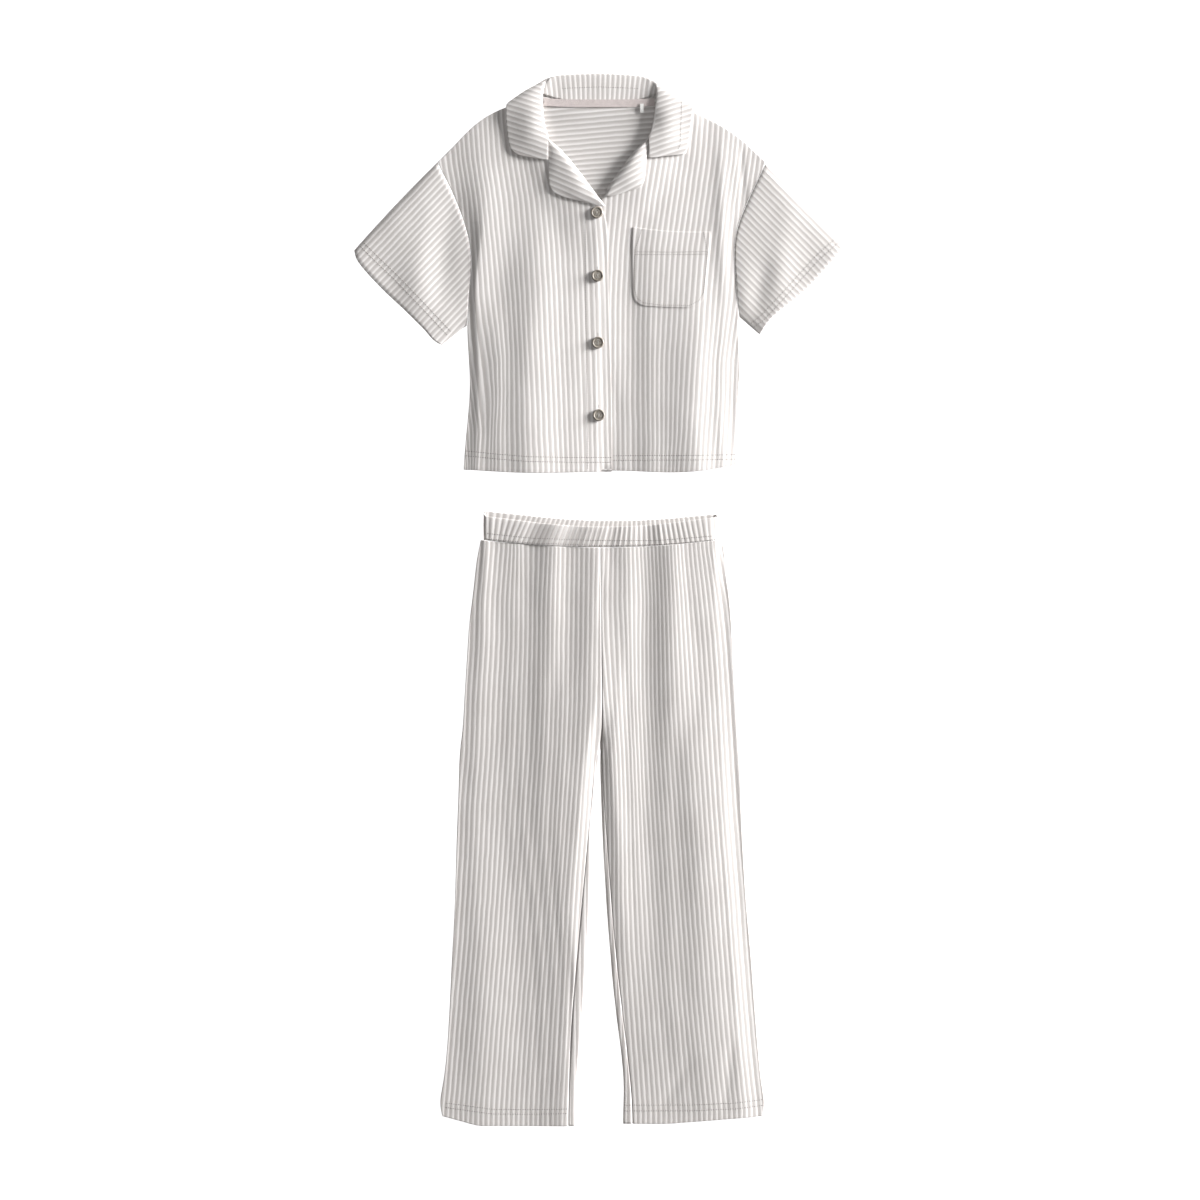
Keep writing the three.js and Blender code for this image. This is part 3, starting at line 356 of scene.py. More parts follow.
@dataclass(frozen=True)
class MarbledButton:
    """Cloudy taupe plastic that imitates horn."""

    name: str = "taupe_button"
    deep: Colour = (0.115, 0.098, 0.08)
    middle: Colour = (0.27, 0.24, 0.205)
    pale: Colour = (0.36, 0.325, 0.28)

    def material(self) -> bpy.types.Material:
        """Makes the material.

        Returns:
            The material, which reads Object coordinates.
        """
        shader = Shader(self.name)
        cloud = shader.noise(shader.node("ShaderNodeTexCoord").outputs["Object"], 240.0, 4.0)
        shader.join(shader.ramp(cloud, [(0.32, self.deep), (0.55, self.middle), (0.8, self.pale)]),
                    shader.surface.inputs["Base Color"])
        return shader.finish({"Roughness": 0.38, "Coat Weight": 0.2, "Coat Roughness": 0.25})


@dataclass(frozen=True)
class PaleTable:
    """The plain white surface that the set lies on."""

    name: str = "pale_table"

    def material(self) -> bpy.types.Material:
        """Makes the material."""
        return Shader(self.name).finish({
            "Base Color": (0.97, 0.97, 0.97), "Roughness": 0.9, "Specular IOR Level": 0.0,
            "Emission Color": WHITE, "Emission Strength": 0.8,
        })


def smooth(value: np.ndarray, low: float, high: float) -> np.ndarray:
    """Eases from 0 to 1 between two values."""
    share = np.clip((value - low) / (high - low), 0.0, 1.0)
    return share * share * (3.0 - 2.0 * share)


def eased_line(at: np.ndarray, places: Values, values: Values, ease: int, margin: float) -> np.ndarray:
    """Reads a line that runs straight between its points, with its corners rounded.

    Args:
        at: Where it is read.
        places: Where its points lie, in rising order.
        values: What they are.
        ease: How far the corners are rounded.
        margin: How far it runs on beyond its ends.

    Returns:
        A value for each place where it is read.
    """
    fine = np.arange(places[0] - margin, places[-1] + margin)
    weights = np.hanning(2 * ease + 3)[1:-1]
    padded = np.pad(np.interp(fine, places, values), ease, mode="edge")
    return np.interp(at, fine, np.convolve(padded, weights / weights.sum(), mode="valid"))


class Grain(ABC):
    """The way that a piece's stripes run."""

    @abstractmethod
    def count(self, plan: np.ndarray, centre: np.ndarray) -> np.ndarray:
        """Counts the stripes up to points of the plan.

        Args:
            plan: Points in metres.
            centre: The middle of the face that each point belongs to.

        Returns:
            A stripe count for each point.
        """


@dataclass(frozen=True)
class DrawnGrain(Grain):
    """Stripes that run down a piece, a few of them followed from row to row.

    rows are photo rows. lines gives, for a stripe's number, its photo column on each row.
    """

    rows: Values
    lines: dict[int, Values]
    ease: int = 15
    margin: float = 60.0

    def count(self, plan: np.ndarray, centre: np.ndarray) -> np.ndarray:
        """Counts the stripes between the two drawn ones that each point lies between.

        Args:
            plan: Points in metres.
            centre: The middle of the face that each point belongs to, which isn't needed here.

        Returns:
            A stripe count for each point.
        """
        column = plan[:, 0] / PIXEL + PHOTO_CENTRE[0]
        row = PHOTO_CENTRE[1] - plan[:, 1] / PIXEL
        numbers = sorted(self.lines)
        drawn = [eased_line(row, self.rows, self.lines[number], self.ease, self.margin) for number in numbers]
        counts = np.zeros(len(plan))
        last = len(numbers) - 2
        for k, (low, high) in enumerate(zip(drawn, drawn[1:])):
            inside = np.ones(len(plan), dtype=bool)
            if k > 0:
                inside &= column >= low
            if k < last:
                inside &= column < high
            share = (column - low) / (high - low)
            value = numbers[k] + share * (numbers[k + 1] - numbers[k])
            counts[inside] = value[inside]
        return counts


@dataclass(frozen=True)
class StraightGrain(Grain):
    """Stripes that run straight across a piece at an angle from the viewer's right."""

    angle: float
    offset: float = 0.0

    def count(self, plan: np.ndarray, centre: np.ndarray) -> np.ndarray:
        """Counts the stripes square to their angle."""
        turn = math.radians(self.angle)
        return (plan[:, 0] * math.sin(turn) - plan[:, 1] * math.cos(turn)) / STRIPE + self.offset


@dataclass(frozen=True)
class CollarGrain(Grain):
    """Stripes across the collar: along its two leaves, and up the stand that shows between them.

    roll_across is the roll line's distance from the middle at each of the roll_along, all in metres. The
    stand's stripes have their pitch at the height stand_level, and fan out by stand_fan for each metre up.
    """

    left: StraightGrain = StraightGrain(-18.5)
    right: StraightGrain = StraightGrain(18.5, 0.35)
    stand_pitch: float = 6.1 * MM
    stand_fan: float = 2.1
    stand_level: float = 0.638
    roll_along: Values = (0.570, 0.581, 0.591, 0.612, 0.637, 0.646, 0.651, 0.654, 0.6565)
    roll_across: Values = (0.062, 0.064, 0.068, 0.0705, 0.071, 0.0685, 0.0645, 0.056, 0.020)

    def on_leaf(self, plan: np.ndarray) -> np.ndarray:
        """Says which points of the plan lie outside the roll line."""
        return np.abs(plan[:, 0]) > np.interp(plan[:, 1], self.roll_along, self.roll_across)

    def count(self, plan: np.ndarray, centre: np.ndarray) -> np.ndarray:
        """Counts the stripes of the leaf or the stand that each point's face is on.

        Args:
            plan: Points in metres.
            centre: The middle of the face that each point belongs to.

        Returns:
            A stripe count for each point.
        """
        leaf = np.where(plan[:, 0] < 0, self.left.count(plan, centre), self.right.count(plan, centre))
        lean = 1.0 - self.stand_fan * (plan[:, 1] - self.stand_level)
        return np.where(self.on_leaf(centre), leaf, plan[:, 0] * lean / self.stand_pitch)


@dataclass(frozen=True)
class Fold:
    """A soft ridge, or a valley where the rise is below zero, between two photo points.

    rise and width are in millimetres. fade_in and fade_out are the shares of its length that its ends take.
    """

    start: Point
    end: Point
    rise: float
    width: float
    fade_in: Point = (-0.12, 0.22)
    fade_out: Point = (0.72, 1.12)

    def height(self, plan: np.ndarray) -> np.ndarray:
        """Gives the fold's height at points of the plan.

        Args:
            plan: Points in metres.

        Returns:
            Heights in metres.
        """
        start = np.array([across(self.start[0]), up_from(self.start[1])])
        end = np.array([across(self.end[0]), up_from(self.end[1])])
        run = end - start
        length = np.hypot(*run)
        along = (plan - start) @ run / length ** 2
        side = ((plan - start) @ np.array([-run[1], run[0]])) / length
        fade = smooth(along, *self.fade_in) * (1.0 - smooth(along, *self.fade_out))
        return self.rise * MM * fade * np.exp(-((side / (self.width * MM)) ** 2))


@dataclass(frozen=True)
class Form:
    """How far a garment's upper layer stands off the layer beneath: crests and valleys down the cloth.

    rows are millimetres towards the collar, from the top down. Each line has its millimetres across and its
    rise on every row, and the lines run from the viewer's left to right. creases are the finer folds on it.
    ease, least, ripple and floor are in millimetres too: how far the corners at the rows are rounded, the
    lowest rise of all, the cloth's unevenness, and the rise that valleys and side edges level off to.
    strength is how much higher the folds are than in the solids.
    """

    rows: Values
    lines: tuple[tuple[Values, Values], ...]
    creases: tuple[Fold, ...]
    ease: int = 24
    least: float = 0.15
    ripple: float = 0.06
    strength: float = 1.12
    floor: float = 0.0

    def on_rows(self, values: Values, y: np.ndarray, eased: bool) -> np.ndarray:
        """Gives a line's value at any distance towards the collar.

        Args:
            values: The line's values on the rows.
            y: The distances in millimetres.
            eased: Whether the corners at the rows are rounded.

        Returns:
            One value for each distance.
        """
        rows, drawn = self.rows[::-1], values[::-1]
        if eased:
            return eased_line(y, rows, drawn, self.ease, 2 * self.ease)
        return np.interp(y, rows, drawn)

    def rise(self, plan: np.ndarray, eased: bool) -> np.ndarray:
        """Gives the crests and valleys at points of the plan.

        Args:
            plan: Points in metres.
            eased: Whether they run smoothly from row to row. Without it they are as in the solids.

        Returns:
            Heights in metres.
        """
        x, y = plan[:, 0] / MM, plan[:, 1] / MM
        places = np.stack([self.on_rows(line[0], y, eased) for line in self.lines])
        rises = np.stack([self.on_rows(line[1], y, eased) for line in self.lines])
        left = np.clip((places <= x).sum(axis=0) - 1, 0, len(self.lines) - 2)
        point = np.arange(len(x))
        share = smooth(x, places[left, point], places[left + 1, point])
        return MM * (rises[left, point] * (1.0 - share) + rises[left + 1, point] * share)

    def creased(self, plan: np.ndarray) -> np.ndarray:
        """Gives the fine creases and the cloth's slight unevenness at points of the plan.

        Args:
            plan: Points in metres.

        Returns:
            Heights in metres.
        """
        x, y = plan[:, 0] / MM, plan[:, 1] / MM
        wave = np.sin(x / 7.3 + 1.7 * np.sin(y / 41.0)) * np.sin(y / 23.0 + 0.6 * np.sin(x / 31.0))
        wave += 0.8 * np.sin(x / 12.1 - y / 37.0 + 1.3 * np.sin(y / 67.0 + 0.4))
        total = self.ripple * MM * wave
        for fold in self.creases:
            total += fold.height(plan)
        return total

    def redrawn(self, plan: np.ndarray) -> np.ndarray:
        """Gives the whole form at points of the plan, never so low that it cuts the layer beneath."""
        rise = np.hypot(self.strength * self.rise(plan, True), self.floor * MM)
        return np.maximum(rise + self.creased(plan), self.least * MM)

    def gained(self, plan: np.ndarray) -> np.ndarray:
        """Gives what the whole form adds to the solids' at points of the plan."""
        return self.redrawn(plan) - self.rise(plan, False)


@dataclass(frozen=True)
class Gathers:
    """How the waistband's gathers lie: their lean, as x over y at some photo columns, and their height.

    The rest is in millimetres: the line that the lean turns about, the trousers' row that the band meets,
    their mean rise there, the heights between which the band's outer skin begins, how far it may fall or
    rise to meet them, how far its ends fall and from where, the lowest fall, and the gathers' own level.
    """

    columns: Values = (487, 500, 515, 540, 570, 600, 630, 660, 690, 705, 717)
    slopes: Values = (0.0, 0.2, 0.42, 0.45, 0.33, 0.28, 0.05, -0.12, -0.22, -0.15, 0.0)
    middle: float = 78.0
    seam: float = 60.0
    mean_rise: float = 3.3
    skin: Point = (4.2, 5.8)
    fall: Point = (-2.2, 0.9)
    end_fall: float = 1.2
    ends: Point = (-146.0, 147.5)
    end_length: float = 14.0
    lowest: float = -2.5
    level: float = 6.4
    form_share: float = 0.95
    gather_share: float = 0.6

    def settle(self, points: np.ndarray, form: Form) -> None:
        """Lowers the outer skin to meet the trousers, softens its gathers and rounds off its ends.

        Args:
            points: The band's points, which are changed.
            form: The trousers' folds.
        """
        x, z = points[:, 0] / MM, points[:, 2] / MM
        meet = np.stack([points[:, 0], np.full(len(points), self.seam * MM)], axis=1)
        fall = np.clip(self.form_share * (form.redrawn(meet) / MM - self.mean_rise), *self.fall)
        reach = np.minimum(x - self.ends[0], self.ends[1] - x)
        fall -= self.end_fall * (1.0 - smooth(reach, 0.0, self.end_length))
        gathered = np.maximum(z - self.level, 0.0)
        move = smooth(z, *self.skin) * np.maximum(fall, self.lowest) - (1.0 - self.gather_share) * gathered
        points[:, 2] += move * MM

    def shear(self, points: np.ndarray) -> None:
        """Moves the band's points sideways, by their distance from its middle line.

        Args:
            points: The points, which are changed.
        """
        slope = np.interp(points[:, 0], [across(column) for column in self.columns], self.slopes)
        points[:, 0] += slope * (points[:, 1] - self.middle * MM)


def mesh_of(bm: bmesh.types.BMesh, name: str) -> bpy.types.Mesh:
    """Turns an edited mesh into one that objects can hold.

    Args:
        bm: The edited mesh, which is freed.
        name: The new mesh's name.

    Returns:
        The new mesh.
    """
    mesh = bpy.data.meshes.new(name)
    bm.to_mesh(mesh)
    bm.free()
    return mesh


def merged_quads(node: str) -> bmesh.types.BMesh:
    """Takes a merged copy of a CAD node, in quads.

    Args:
        node: The CAD node.

    Returns:
        The copy.
    """
    bm = bmesh.new()
    bm.from_mesh(bpy.data.objects[node].data)
    bmesh.ops.remove_doubles(bm, verts=bm.verts, dist=MERGED_WITHIN)
    bmesh.ops.join_triangles(bm, faces=bm.faces, angle_face_threshold=SHARP_ANGLE,
                             angle_shape_threshold=math.radians(170))
    return bm


def smoothed(bm: bmesh.types.BMesh, name: str, levels: int) -> bpy.types.Mesh:
    """Subdivides a cloth shell, keeping the corners of its rim.

    Args:
        bm: The shell, which is freed.
        name: The new mesh's name.
        levels: How many times it is subdivided.

    Returns:
        The finished mesh.
    """
    layer = bm.edges.layers.float.new("crease_edge")
    for edge in bm.edges:
        if len(edge.link_faces) == 2 and edge.calc_face_angle() > RIM_ANGLE:
            edge[layer] = RIM_CREASE
    cage = mesh_of(bm, name + "_cage")
    holder = bpy.data.objects.new(name + "_cage", cage)
    bpy.context.scene.collection.objects.link(holder)
    subdivision = holder.modifiers.new("Soft", "SUBSURF")
    subdivision.levels = levels
    subdivision.render_levels = levels
    bpy.context.view_layer.update()
    graph = bpy.context.evaluated_depsgraph_get()
    mesh = bpy.data.meshes.new_from_object(holder.evaluated_get(graph))
    bpy.data.objects.remove(holder)
    bpy.data.meshes.remove(cage)
    mesh.name = name
    return mesh


def points_of(mesh: bpy.types.Mesh) -> np.ndarray:
    """Reads a mesh's points.

    Args:
        mesh: The mesh.

    Returns:
        The points, a row for each.
    """
    flat = np.empty(len(mesh.vertices) * 3)
    mesh.vertices.foreach_get("co", flat)
    return flat.reshape(-1, 3)


def shown(mesh: bpy.types.Mesh, name: str) -> bpy.types.Object:
    """Puts a finished mesh in the scene, riding on the set's one body.

    Args:
        mesh: The mesh.
        name: The piece's name.

    Returns:
        The piece.
    """
    piece = bpy.data.objects.new(name, mesh)
    bpy.context.scene.collection.objects.link(piece)
    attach(piece, "root")
    return piece


class Surface:
    """The upper side of finished pieces, for what is sewn on them."""

    def __init__(self, *pieces: bpy.types.Object) -> None:
        """Keeps a search tree for each piece.

        Args:
            pieces: The pieces to lie on.
        """
        self.trees = []
        for piece in pieces:
            bm = bmesh.new()
            bm.from_mesh(piece.data)
            self.trees.append(BVHTree.FromBMesh(bm))
            bm.free()

    def top(self, x: float, y: float) -> tuple[float, Vector]:
        """Finds the highest surface at a place.

        Args:
            x: Metres to the viewer's right.
            y: Metres towards the collar.

        Returns:
            Its height and the way that it faces. Off the pieces it is the table.
        """
        best = (0.0, Vector((0.0, 0.0, 1.0)))
        for tree in self.trees:
            place, normal, _, _ = tree.ray_cast(Vector((x, y, LOOKED_FROM)), Vector((0.0, 0.0, -1.0)))
            if place is not None and place.z > best[0]:
                best = (place.z, normal)
        return best


@dataclass(frozen=True)
class ClothPiece:
    """One cut piece of jersey, made from its CAD node.

    flat and area are its cut in metres, which nothing here reads. The rest is in millimetres: a piece with
    two layers has the folds in full above the height top_only_above, and none below the share fade_share of
    it. It is pressed down from pressed_from across, and in full when pressed_over farther.
    """

    node: str
    grain: Grain
    flat: Point
    area: float
    rests_on: tuple[str, ...] = ()
    held: Held = Held.LAID
    follows: Follows = Follows.FORM
    levels: int = 3
    top_only_above: float | None = None
    fade_share: float = 0.6
    pressed_onto: str = ""
    pressed_from: float = -1000.0
    pressed_over: float = 12.0
    gathers: Gathers | None = None

    def weights(self, points: np.ndarray) -> np.ndarray:
        """Says how far each point follows the folds.

        Args:
            points: The piece's points.

        Returns:
            A share for each point, 0 for the layer that lies on the table.
        """
        if self.top_only_above is None:
            return np.ones(len(points))
        level = self.top_only_above * MM
        return smooth(points[:, 2], self.fade_share * level, level)

    def stripe_map(self, mesh: bpy.types.Mesh) -> None:
        """Writes the UV map: stripes across, metres along.

        Args:
            mesh: The piece's mesh.
        """
        points = points_of(mesh)
        corner = np.empty(len(mesh.loops), dtype=np.int32)
        mesh.loops.foreach_get("vertex_index", corner)
        sides = np.empty(len(mesh.polygons), dtype=np.int32)
        mesh.polygons.foreach_get("loop_total", sides)
        face = np.repeat(np.arange(len(sides)), sides)
        plan = points[corner, :2]
        centre = np.stack([np.bincount(face, plan[:, axis]) / sides for axis in (0, 1)], axis=1)
        counts = self.grain.count(plan, centre[face])
        uv = np.stack([counts * STRIPE, plan[:, 1]], axis=1)
        mesh.uv_layers.new(name=UV_NAME).data.foreach_set("uv", uv.ravel())

    def cage(self, form: Form) -> bmesh.types.BMesh:
        """Takes the piece's coarse shell, without its solid's folds where it has folds of its own.

        Args:
            form: The garment's folds.

        Returns:
            The shell.
        """
        bm = merged_quads(self.node)
        if self.follows is Follows.FORM:
            plan = np.array([vert.co[:2] for vert in bm.verts])
            for vert, rise in zip(bm.verts, form.rise(plan, False)):
                vert.co.z -= rise
        return bm

    def gain(self, form: Form, plan: np.ndarray) -> np.ndarray:
        """Gives how far the folds lift the piece.

        Args:
            form: The garment's folds.
            plan: The piece's points in the plan.

        Returns:
            Heights in metres.
        """
        if self.follows is Follows.FORM:
            return form.redrawn(plan)
        if self.follows is Follows.CARRIER:
            return form.gained(plan)
        if self.follows is Follows.CREASES:
            return form.creased(plan)
        return np.zeros(len(plan))

    def press(self, points: np.ndarray, surface: Surface) -> None:
        """Presses the piece, or its edge, down onto the one that it lies on.

        Args:
            points: The piece's points, which are changed.
            surface: The upper side of the other piece.
        """
        shares = smooth(points[:, 0] / MM, self.pressed_from, self.pressed_from + self.pressed_over)
        for point, share in zip(points, shares):
            if share > 0.0:
                below = surface.top(point[0], point[1])[0] + CLOTH_GAP
                pressed = below + PRESSED_SHARE * max(point[2] - below, 0.0)
                point[2] += share * (pressed - point[2])

    def build(self, form: Form, material: bpy.types.Material,
              done: dict[str, bpy.types.Object]) -> bpy.types.Object:
        """Args:
            form: The garment's folds.
            material: Its finish.
            done: The pieces made so far, by CAD node.

        Returns:
            The piece.
        """
        mesh = smoothed(self.cage(form), self.node + "_cloth", self.levels)
        self.stripe_map(mesh)
        points = points_of(mesh)
        points[:, 2] += self.gain(form, points[:, :2]) * self.weights(points)
        if self.pressed_onto:
            self.press(points, Surface(done[self.pressed_onto]))
        if self.gathers is not None:
            self.gathers.settle(points, form)
            self.gathers.shear(points)
        mesh.vertices.foreach_set("co", points.ravel())
        mesh.shade_smooth()
        mesh.set_sharp_from_angle(angle=SHARP_ANGLE)
        mesh.materials.clear()
        mesh.materials.append(material)
        mesh.update()
        piece = shown(mesh, self.node + "_cloth")
        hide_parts(self.node)
        log.info("%s: %d faces", piece.name, len(mesh.polygons))
        return piece


# Some of the photo's stripes, followed down it.
SHIRT_RIGHT_GRAIN = DrawnGrain(
    rows=(120, 160, 200, 250, 300, 330, 360, 400, 430, 470),
    lines={
        -1: (441, 445, 452, 456, 458, 459, 463, 469, 473, 473),
        1: (452, 456, 462, 465.5, 467.5, 469, 472, 477, 481, 478),
        3: (461.5, 465, 471.5, 475.5, 478.3, 482, 487, 491, 490, 489),
        5: (472, 475, 481, 485.5, 489.5, 493.5, 497, 498, 496, 496),
        8: (487, 489.5, 495.5, 500.5, 505.5, 507.5, 509, 509, 509, 509.7),
        12: (506, 511.5, 517.5, 521.5, 524.7, 526, 527.5, 529.5, 530, 532),
        16: (525, 532, 539, 543.5, 546.5, 547.5, 549, 551, 552, 554),
        20: (546, 552, 560.5, 564.5, 567, 568, 569.3, 571, 572, 573.5),
        24: (568, 574, 582.5, 586.3, 588.5, 589.3, 590.3, 591.7, 591.8, 593),
        28: (590, 595, 604, 608, 610, 610.5, 611, 612, 612, 613.5),
    },
)
SHIRT_LEFT_GRAIN = DrawnGrain(
    rows=(120, 160, 200, 250, 300, 330, 360, 400, 430, 470),
    lines={
        0: (618, 615, 611, 607, 605, 605, 605, 604.5, 605, 605.5),
        4: (642, 639, 633.5, 628, 625.3, 625, 625, 624.3, 625, 625.3),
        8: (666, 662, 655, 648, 646, 645, 645, 645, 646, 646),
        12: (688, 682.5, 677, 670, 667, 665.3, 663.5, 663.3, 663.3, 663),
        16: (707.5, 704.5, 699, 691.8, 688.3, 686.5, 684.3, 682.3, 681, 678),
        20: (729.5, 726.5, 720.5, 714.8, 710.2, 708.5, 706, 703.5, 701.5, 699),
        24: (750, 745, 739, 734.5, 731.5, 727.5, 723.5, 723, 721, 718),
        28: (771, 765, 759, 755, 752, 746, 742, 740, 740, 737.5),
    },
)
TROUSER_RIGHT_GRAIN = DrawnGrain(
    rows=(546, 600, 640, 700, 750, 800, 850, 900, 950, 1000, 1050, 1110),
    lines={
        4: (489.3, 484.8, 484, 480.5, 479, 475, 473, 470, 466.5, 462, 458, 453),
        8: (508.4, 504.5, 504, 501, 499, 495.5, 493, 490, 486, 482, 478, 473),
        12: (522.5, 523.3, 523, 521, 519, 516, 513, 509, 505.5, 501.5, 497.5, 493.5),
        16: (544.5, 541.5, 541, 540.5, 538.5, 535, 532, 528.5, 525, 521, 517, 513.5),
        20: (560.5, 559.5, 558.5, 558.5, 556.5, 553.5, 551, 547.5, 544, 540, 536.5, 533),
        24: (579, 578.3, 578, 576.6, 574.5, 571, 567.5, 563.8, 561.5, 559, 556, 552.5),
        28: (599, 597.5, 597, 596, 593.5, 590, 586.5, 583, 580, 577.5, 575, 572),
    },
)
TROUSER_LEFT_GRAIN = DrawnGrain(
    rows=(546, 600, 640, 700, 750, 800, 850, 900, 950, 1000, 1050, 1110),
    lines={
        0: (604, 602, 603, 607.5, 611.5, 613.5, 614, 613.8, 614.5, 617, 621, 625.5),
        4: (622, 622, 624, 625.5, 628, 630, 630.5, 631.8, 633.7, 637.3, 641, 645.5),
        8: (638.3, 641, 640, 640.5, 642.5, 644.5, 647.3, 650.3, 653.3, 657.3, 661, 666),
        12: (653, 655.5, 656, 656.5, 659, 662.5, 665.8, 669.2, 672.5, 676.3, 680.7, 686),
        16: (668.5, 671, 672.5, 674.5, 677.5, 681, 684.5, 688.2, 692, 695.5, 700.4, 706.5),
        20: (682.5, 687, 690, 694, 697, 700.5, 704, 708, 711.8, 715.5, 720, 726.5),
        24: (699.5, 706, 710, 714, 717, 720, 724, 728, 731.5, 735.5, 740, 746.5),
        28: (716, 725.5, 730, 734, 737, 740, 744, 748, 751.5, 755.5, 760, 766.5),
    },
)

# The solids have the same crests and valleys, which the creases are added to.
SHIRT_FORM = Form(
    rows=(587, 530, 462, 387, 312, 237, 160),
    lines=(
        ((-190, -196, -165, -163, -163.5, -163, -170), (0.3, 0.4, 0.8, 0.6, 0.4, 0.4, 0.4)),
        ((-150, -141, -145, -156, -150, -150, -150), (1.8, 2.8, 4.4, 2.6, 2.3, 2.4, 2.4)),
        ((-112, -112, -111, -129, -120, -122, -120), (1.7, 2.1, 3.4, 2.1, 4, 4.3, 4.2)),
        ((-80, -75, -78, -77, -86, -90, -89), (1.4, 2.4, 3.9, 4.8, 6, 6.1, 6.2)),
        ((-25, -20, -20, -12, -5, -7, 0), (2, 2.2, 2.2, 1.6, 1.5, 1.3, 0.8)),
        ((4, 4, 4, 4, 12, 21, 14), (2, 2.4, 2.6, 1.8, 1.4, 0.6, 0.5)),
        ((40, 50, 40, 36, 39, 36, 36), (2.2, 3.6, 1.8, 0.8, 0.7, 1, 1.3)),
        ((75, 81, 69, 65, 70, 70, 70), (1.5, 3.1, 2.1, 1.9, 2.4, 2.9, 3.2)),
        ((112, 118, 121, 118, 121, 115, 121), (1.8, 2, 1.6, 2.6, 4.4, 5.1, 6)),
        ((150, 148, 148, 152, 148, 146, 150), (1.6, 1.7, 1.7, 1.4, 2.2, 2.8, 3.2)),
        ((192, 199, 168, 171.5, 172, 169, 170), (0.3, 0.4, 0.4, 0.3, 0.3, 0.3, 0.3)),
    ),
    creases=(
        Fold((721, 145), (723, 300), 0.9, 8),
        Fold((741, 148), (744, 215), -0.6, 4),
        Fold((767, 262), (752, 322), -0.8, 12),
        Fold((790, 205), (772, 300), 0.6, 14),
        Fold((455, 190), (436, 320), -0.5, 11),
        Fold((430, 200), (414, 315), 0.6, 14),
    ),
)
TROUSER_FORM = Form(
    rows=(62, 0, -63, -126, -200, -288, -376, -463, -551, -638),
    lines=(
        ((-151, -159, -164.5, -169.5, -174, -178.5, -181, -185.5, -190, -199),
         (0.3,) * 10),
        ((-143, -146, -147.5, -150, -152.5, -155, -152, -145, -142.5, -142.5),
         (1.6, 1.6, 1.5, 1.5, 1.4, 1.3, 1.6, 2, 2.2, 1.8)),
        ((-129, -130, -126, -125, -125, -122.5, -110, -102.5, -100, -94),
         (0.6, 0.7, 0.8, 1, 1.2, 1, 1, 1.1, 1.6, 1.3)),
        ((-101, -105, -104, -105, -107.5, -107.5, -92.5, -85, -82.5, -80),
         (1.5, 1.5, 1.3, 1.7, 1.7, 1.5, 1.5, 1.6, 1.9, 1.6)),
        ((-91, -94, -94, -95, -95, -92.5, -77.5, -69, -67.5, -66),
         (1.2, 1.3, 1.5, 2, 2.3, 2.2, 2.3, 2.5, 2.6, 2.2)),
        ((-57.5, -60, -59, -64, -65, -67.5, -60, -52.5, -54, -56),
         (3.8, 3.8, 3.7, 4.2, 4.2, 3.6, 3.2, 3.4, 3.3, 2.7)),
        ((-40, -41, -41, -42.5, -42.5, -47.5, -47.5, -41, -46, -50),
         (2.7, 2.8, 3.2, 4.9, 5, 4.5, 4.1, 4.1, 3.7, 3)),
        ((-5, -6, -11, -7.5, -20, -29, -39, -32.5, -41, -46),
         (4.2, 4.4, 4.9, 6.2, 5.6, 5, 4.3, 4.4, 3.8, 3)),
        ((0.6, 0.6, 0.6, 0.6, -3, -9.5, -12.5, -18, -25, -30),
         (3.9, 4, 4.6, 5.9, 2.4, 2.4, 2.2, 2.2, 2.2, 1.8)),
        ((2, 2, 2, 2, -0.5, 3, 7.5, 13, 24, 30),
         (3.7, 3.9, 4.5, 5.8, 2.4, 2.2, 2, 2, 1.8, 1.6)),
        ((12.5, 15, 20, 20, 15, 22.5, 26, 35, 45, 62.5),
         (3.1, 3.7, 3.9, 4.8, 4.6, 4, 3.4, 2.7, 2.3, 2)),
        ((34, 34, 32.5, 37.5, 37.5, 40, 44, 50, 60, 80),
         (3.9, 4, 3.7, 3.3, 3.1, 2.8, 2.5, 2.6, 2.6, 2.2)),
        ((57.5, 57.5, 56, 59, 60, 57.5, 62.5, 62.5, 75, 95),
         (2.6, 2.2, 2, 2, 1.9, 2, 2, 2.6, 2.9, 2.3)),
        ((91, 91, 91, 91, 90, 90, 94, 94, 100, 112.5),
         (4.7, 4.6, 4.5, 4.5, 3.5, 3.4, 3.2, 3.5, 3.8, 2.6)),
        ((110, 115, 125, 129, 114, 122.5, 127.5, 132.5, 127.5, 132.5),
         (3.7, 3.2, 2.6, 3, 4.4, 5, 4.7, 4.8, 4.6, 3.1)),
        ((141, 141, 143, 146, 149, 152.5, 158, 164, 168, 174),
         (3.4, 3, 2.9, 3, 4, 4.6, 4.3, 4.5, 4.4, 3.2)),
        ((154.5, 160, 164.5, 168.5, 172.5, 176, 182, 190, 196.5, 205.5),
         (0.3,) * 10),
    ),
    creases=(
        Fold((714, 560), (738, 1105), -0.9, 14),
        Fold((603.5, 735), (598.5, 757), -0.5, 2.5),
        Fold((571, 965), (569, 1060), -0.4, 3),
        Fold((690, 1060), (658, 1114), -0.5, 8),
        Fold((732, 1040), (724, 1114), -0.45, 7),
    ),
    floor=1.0,
)

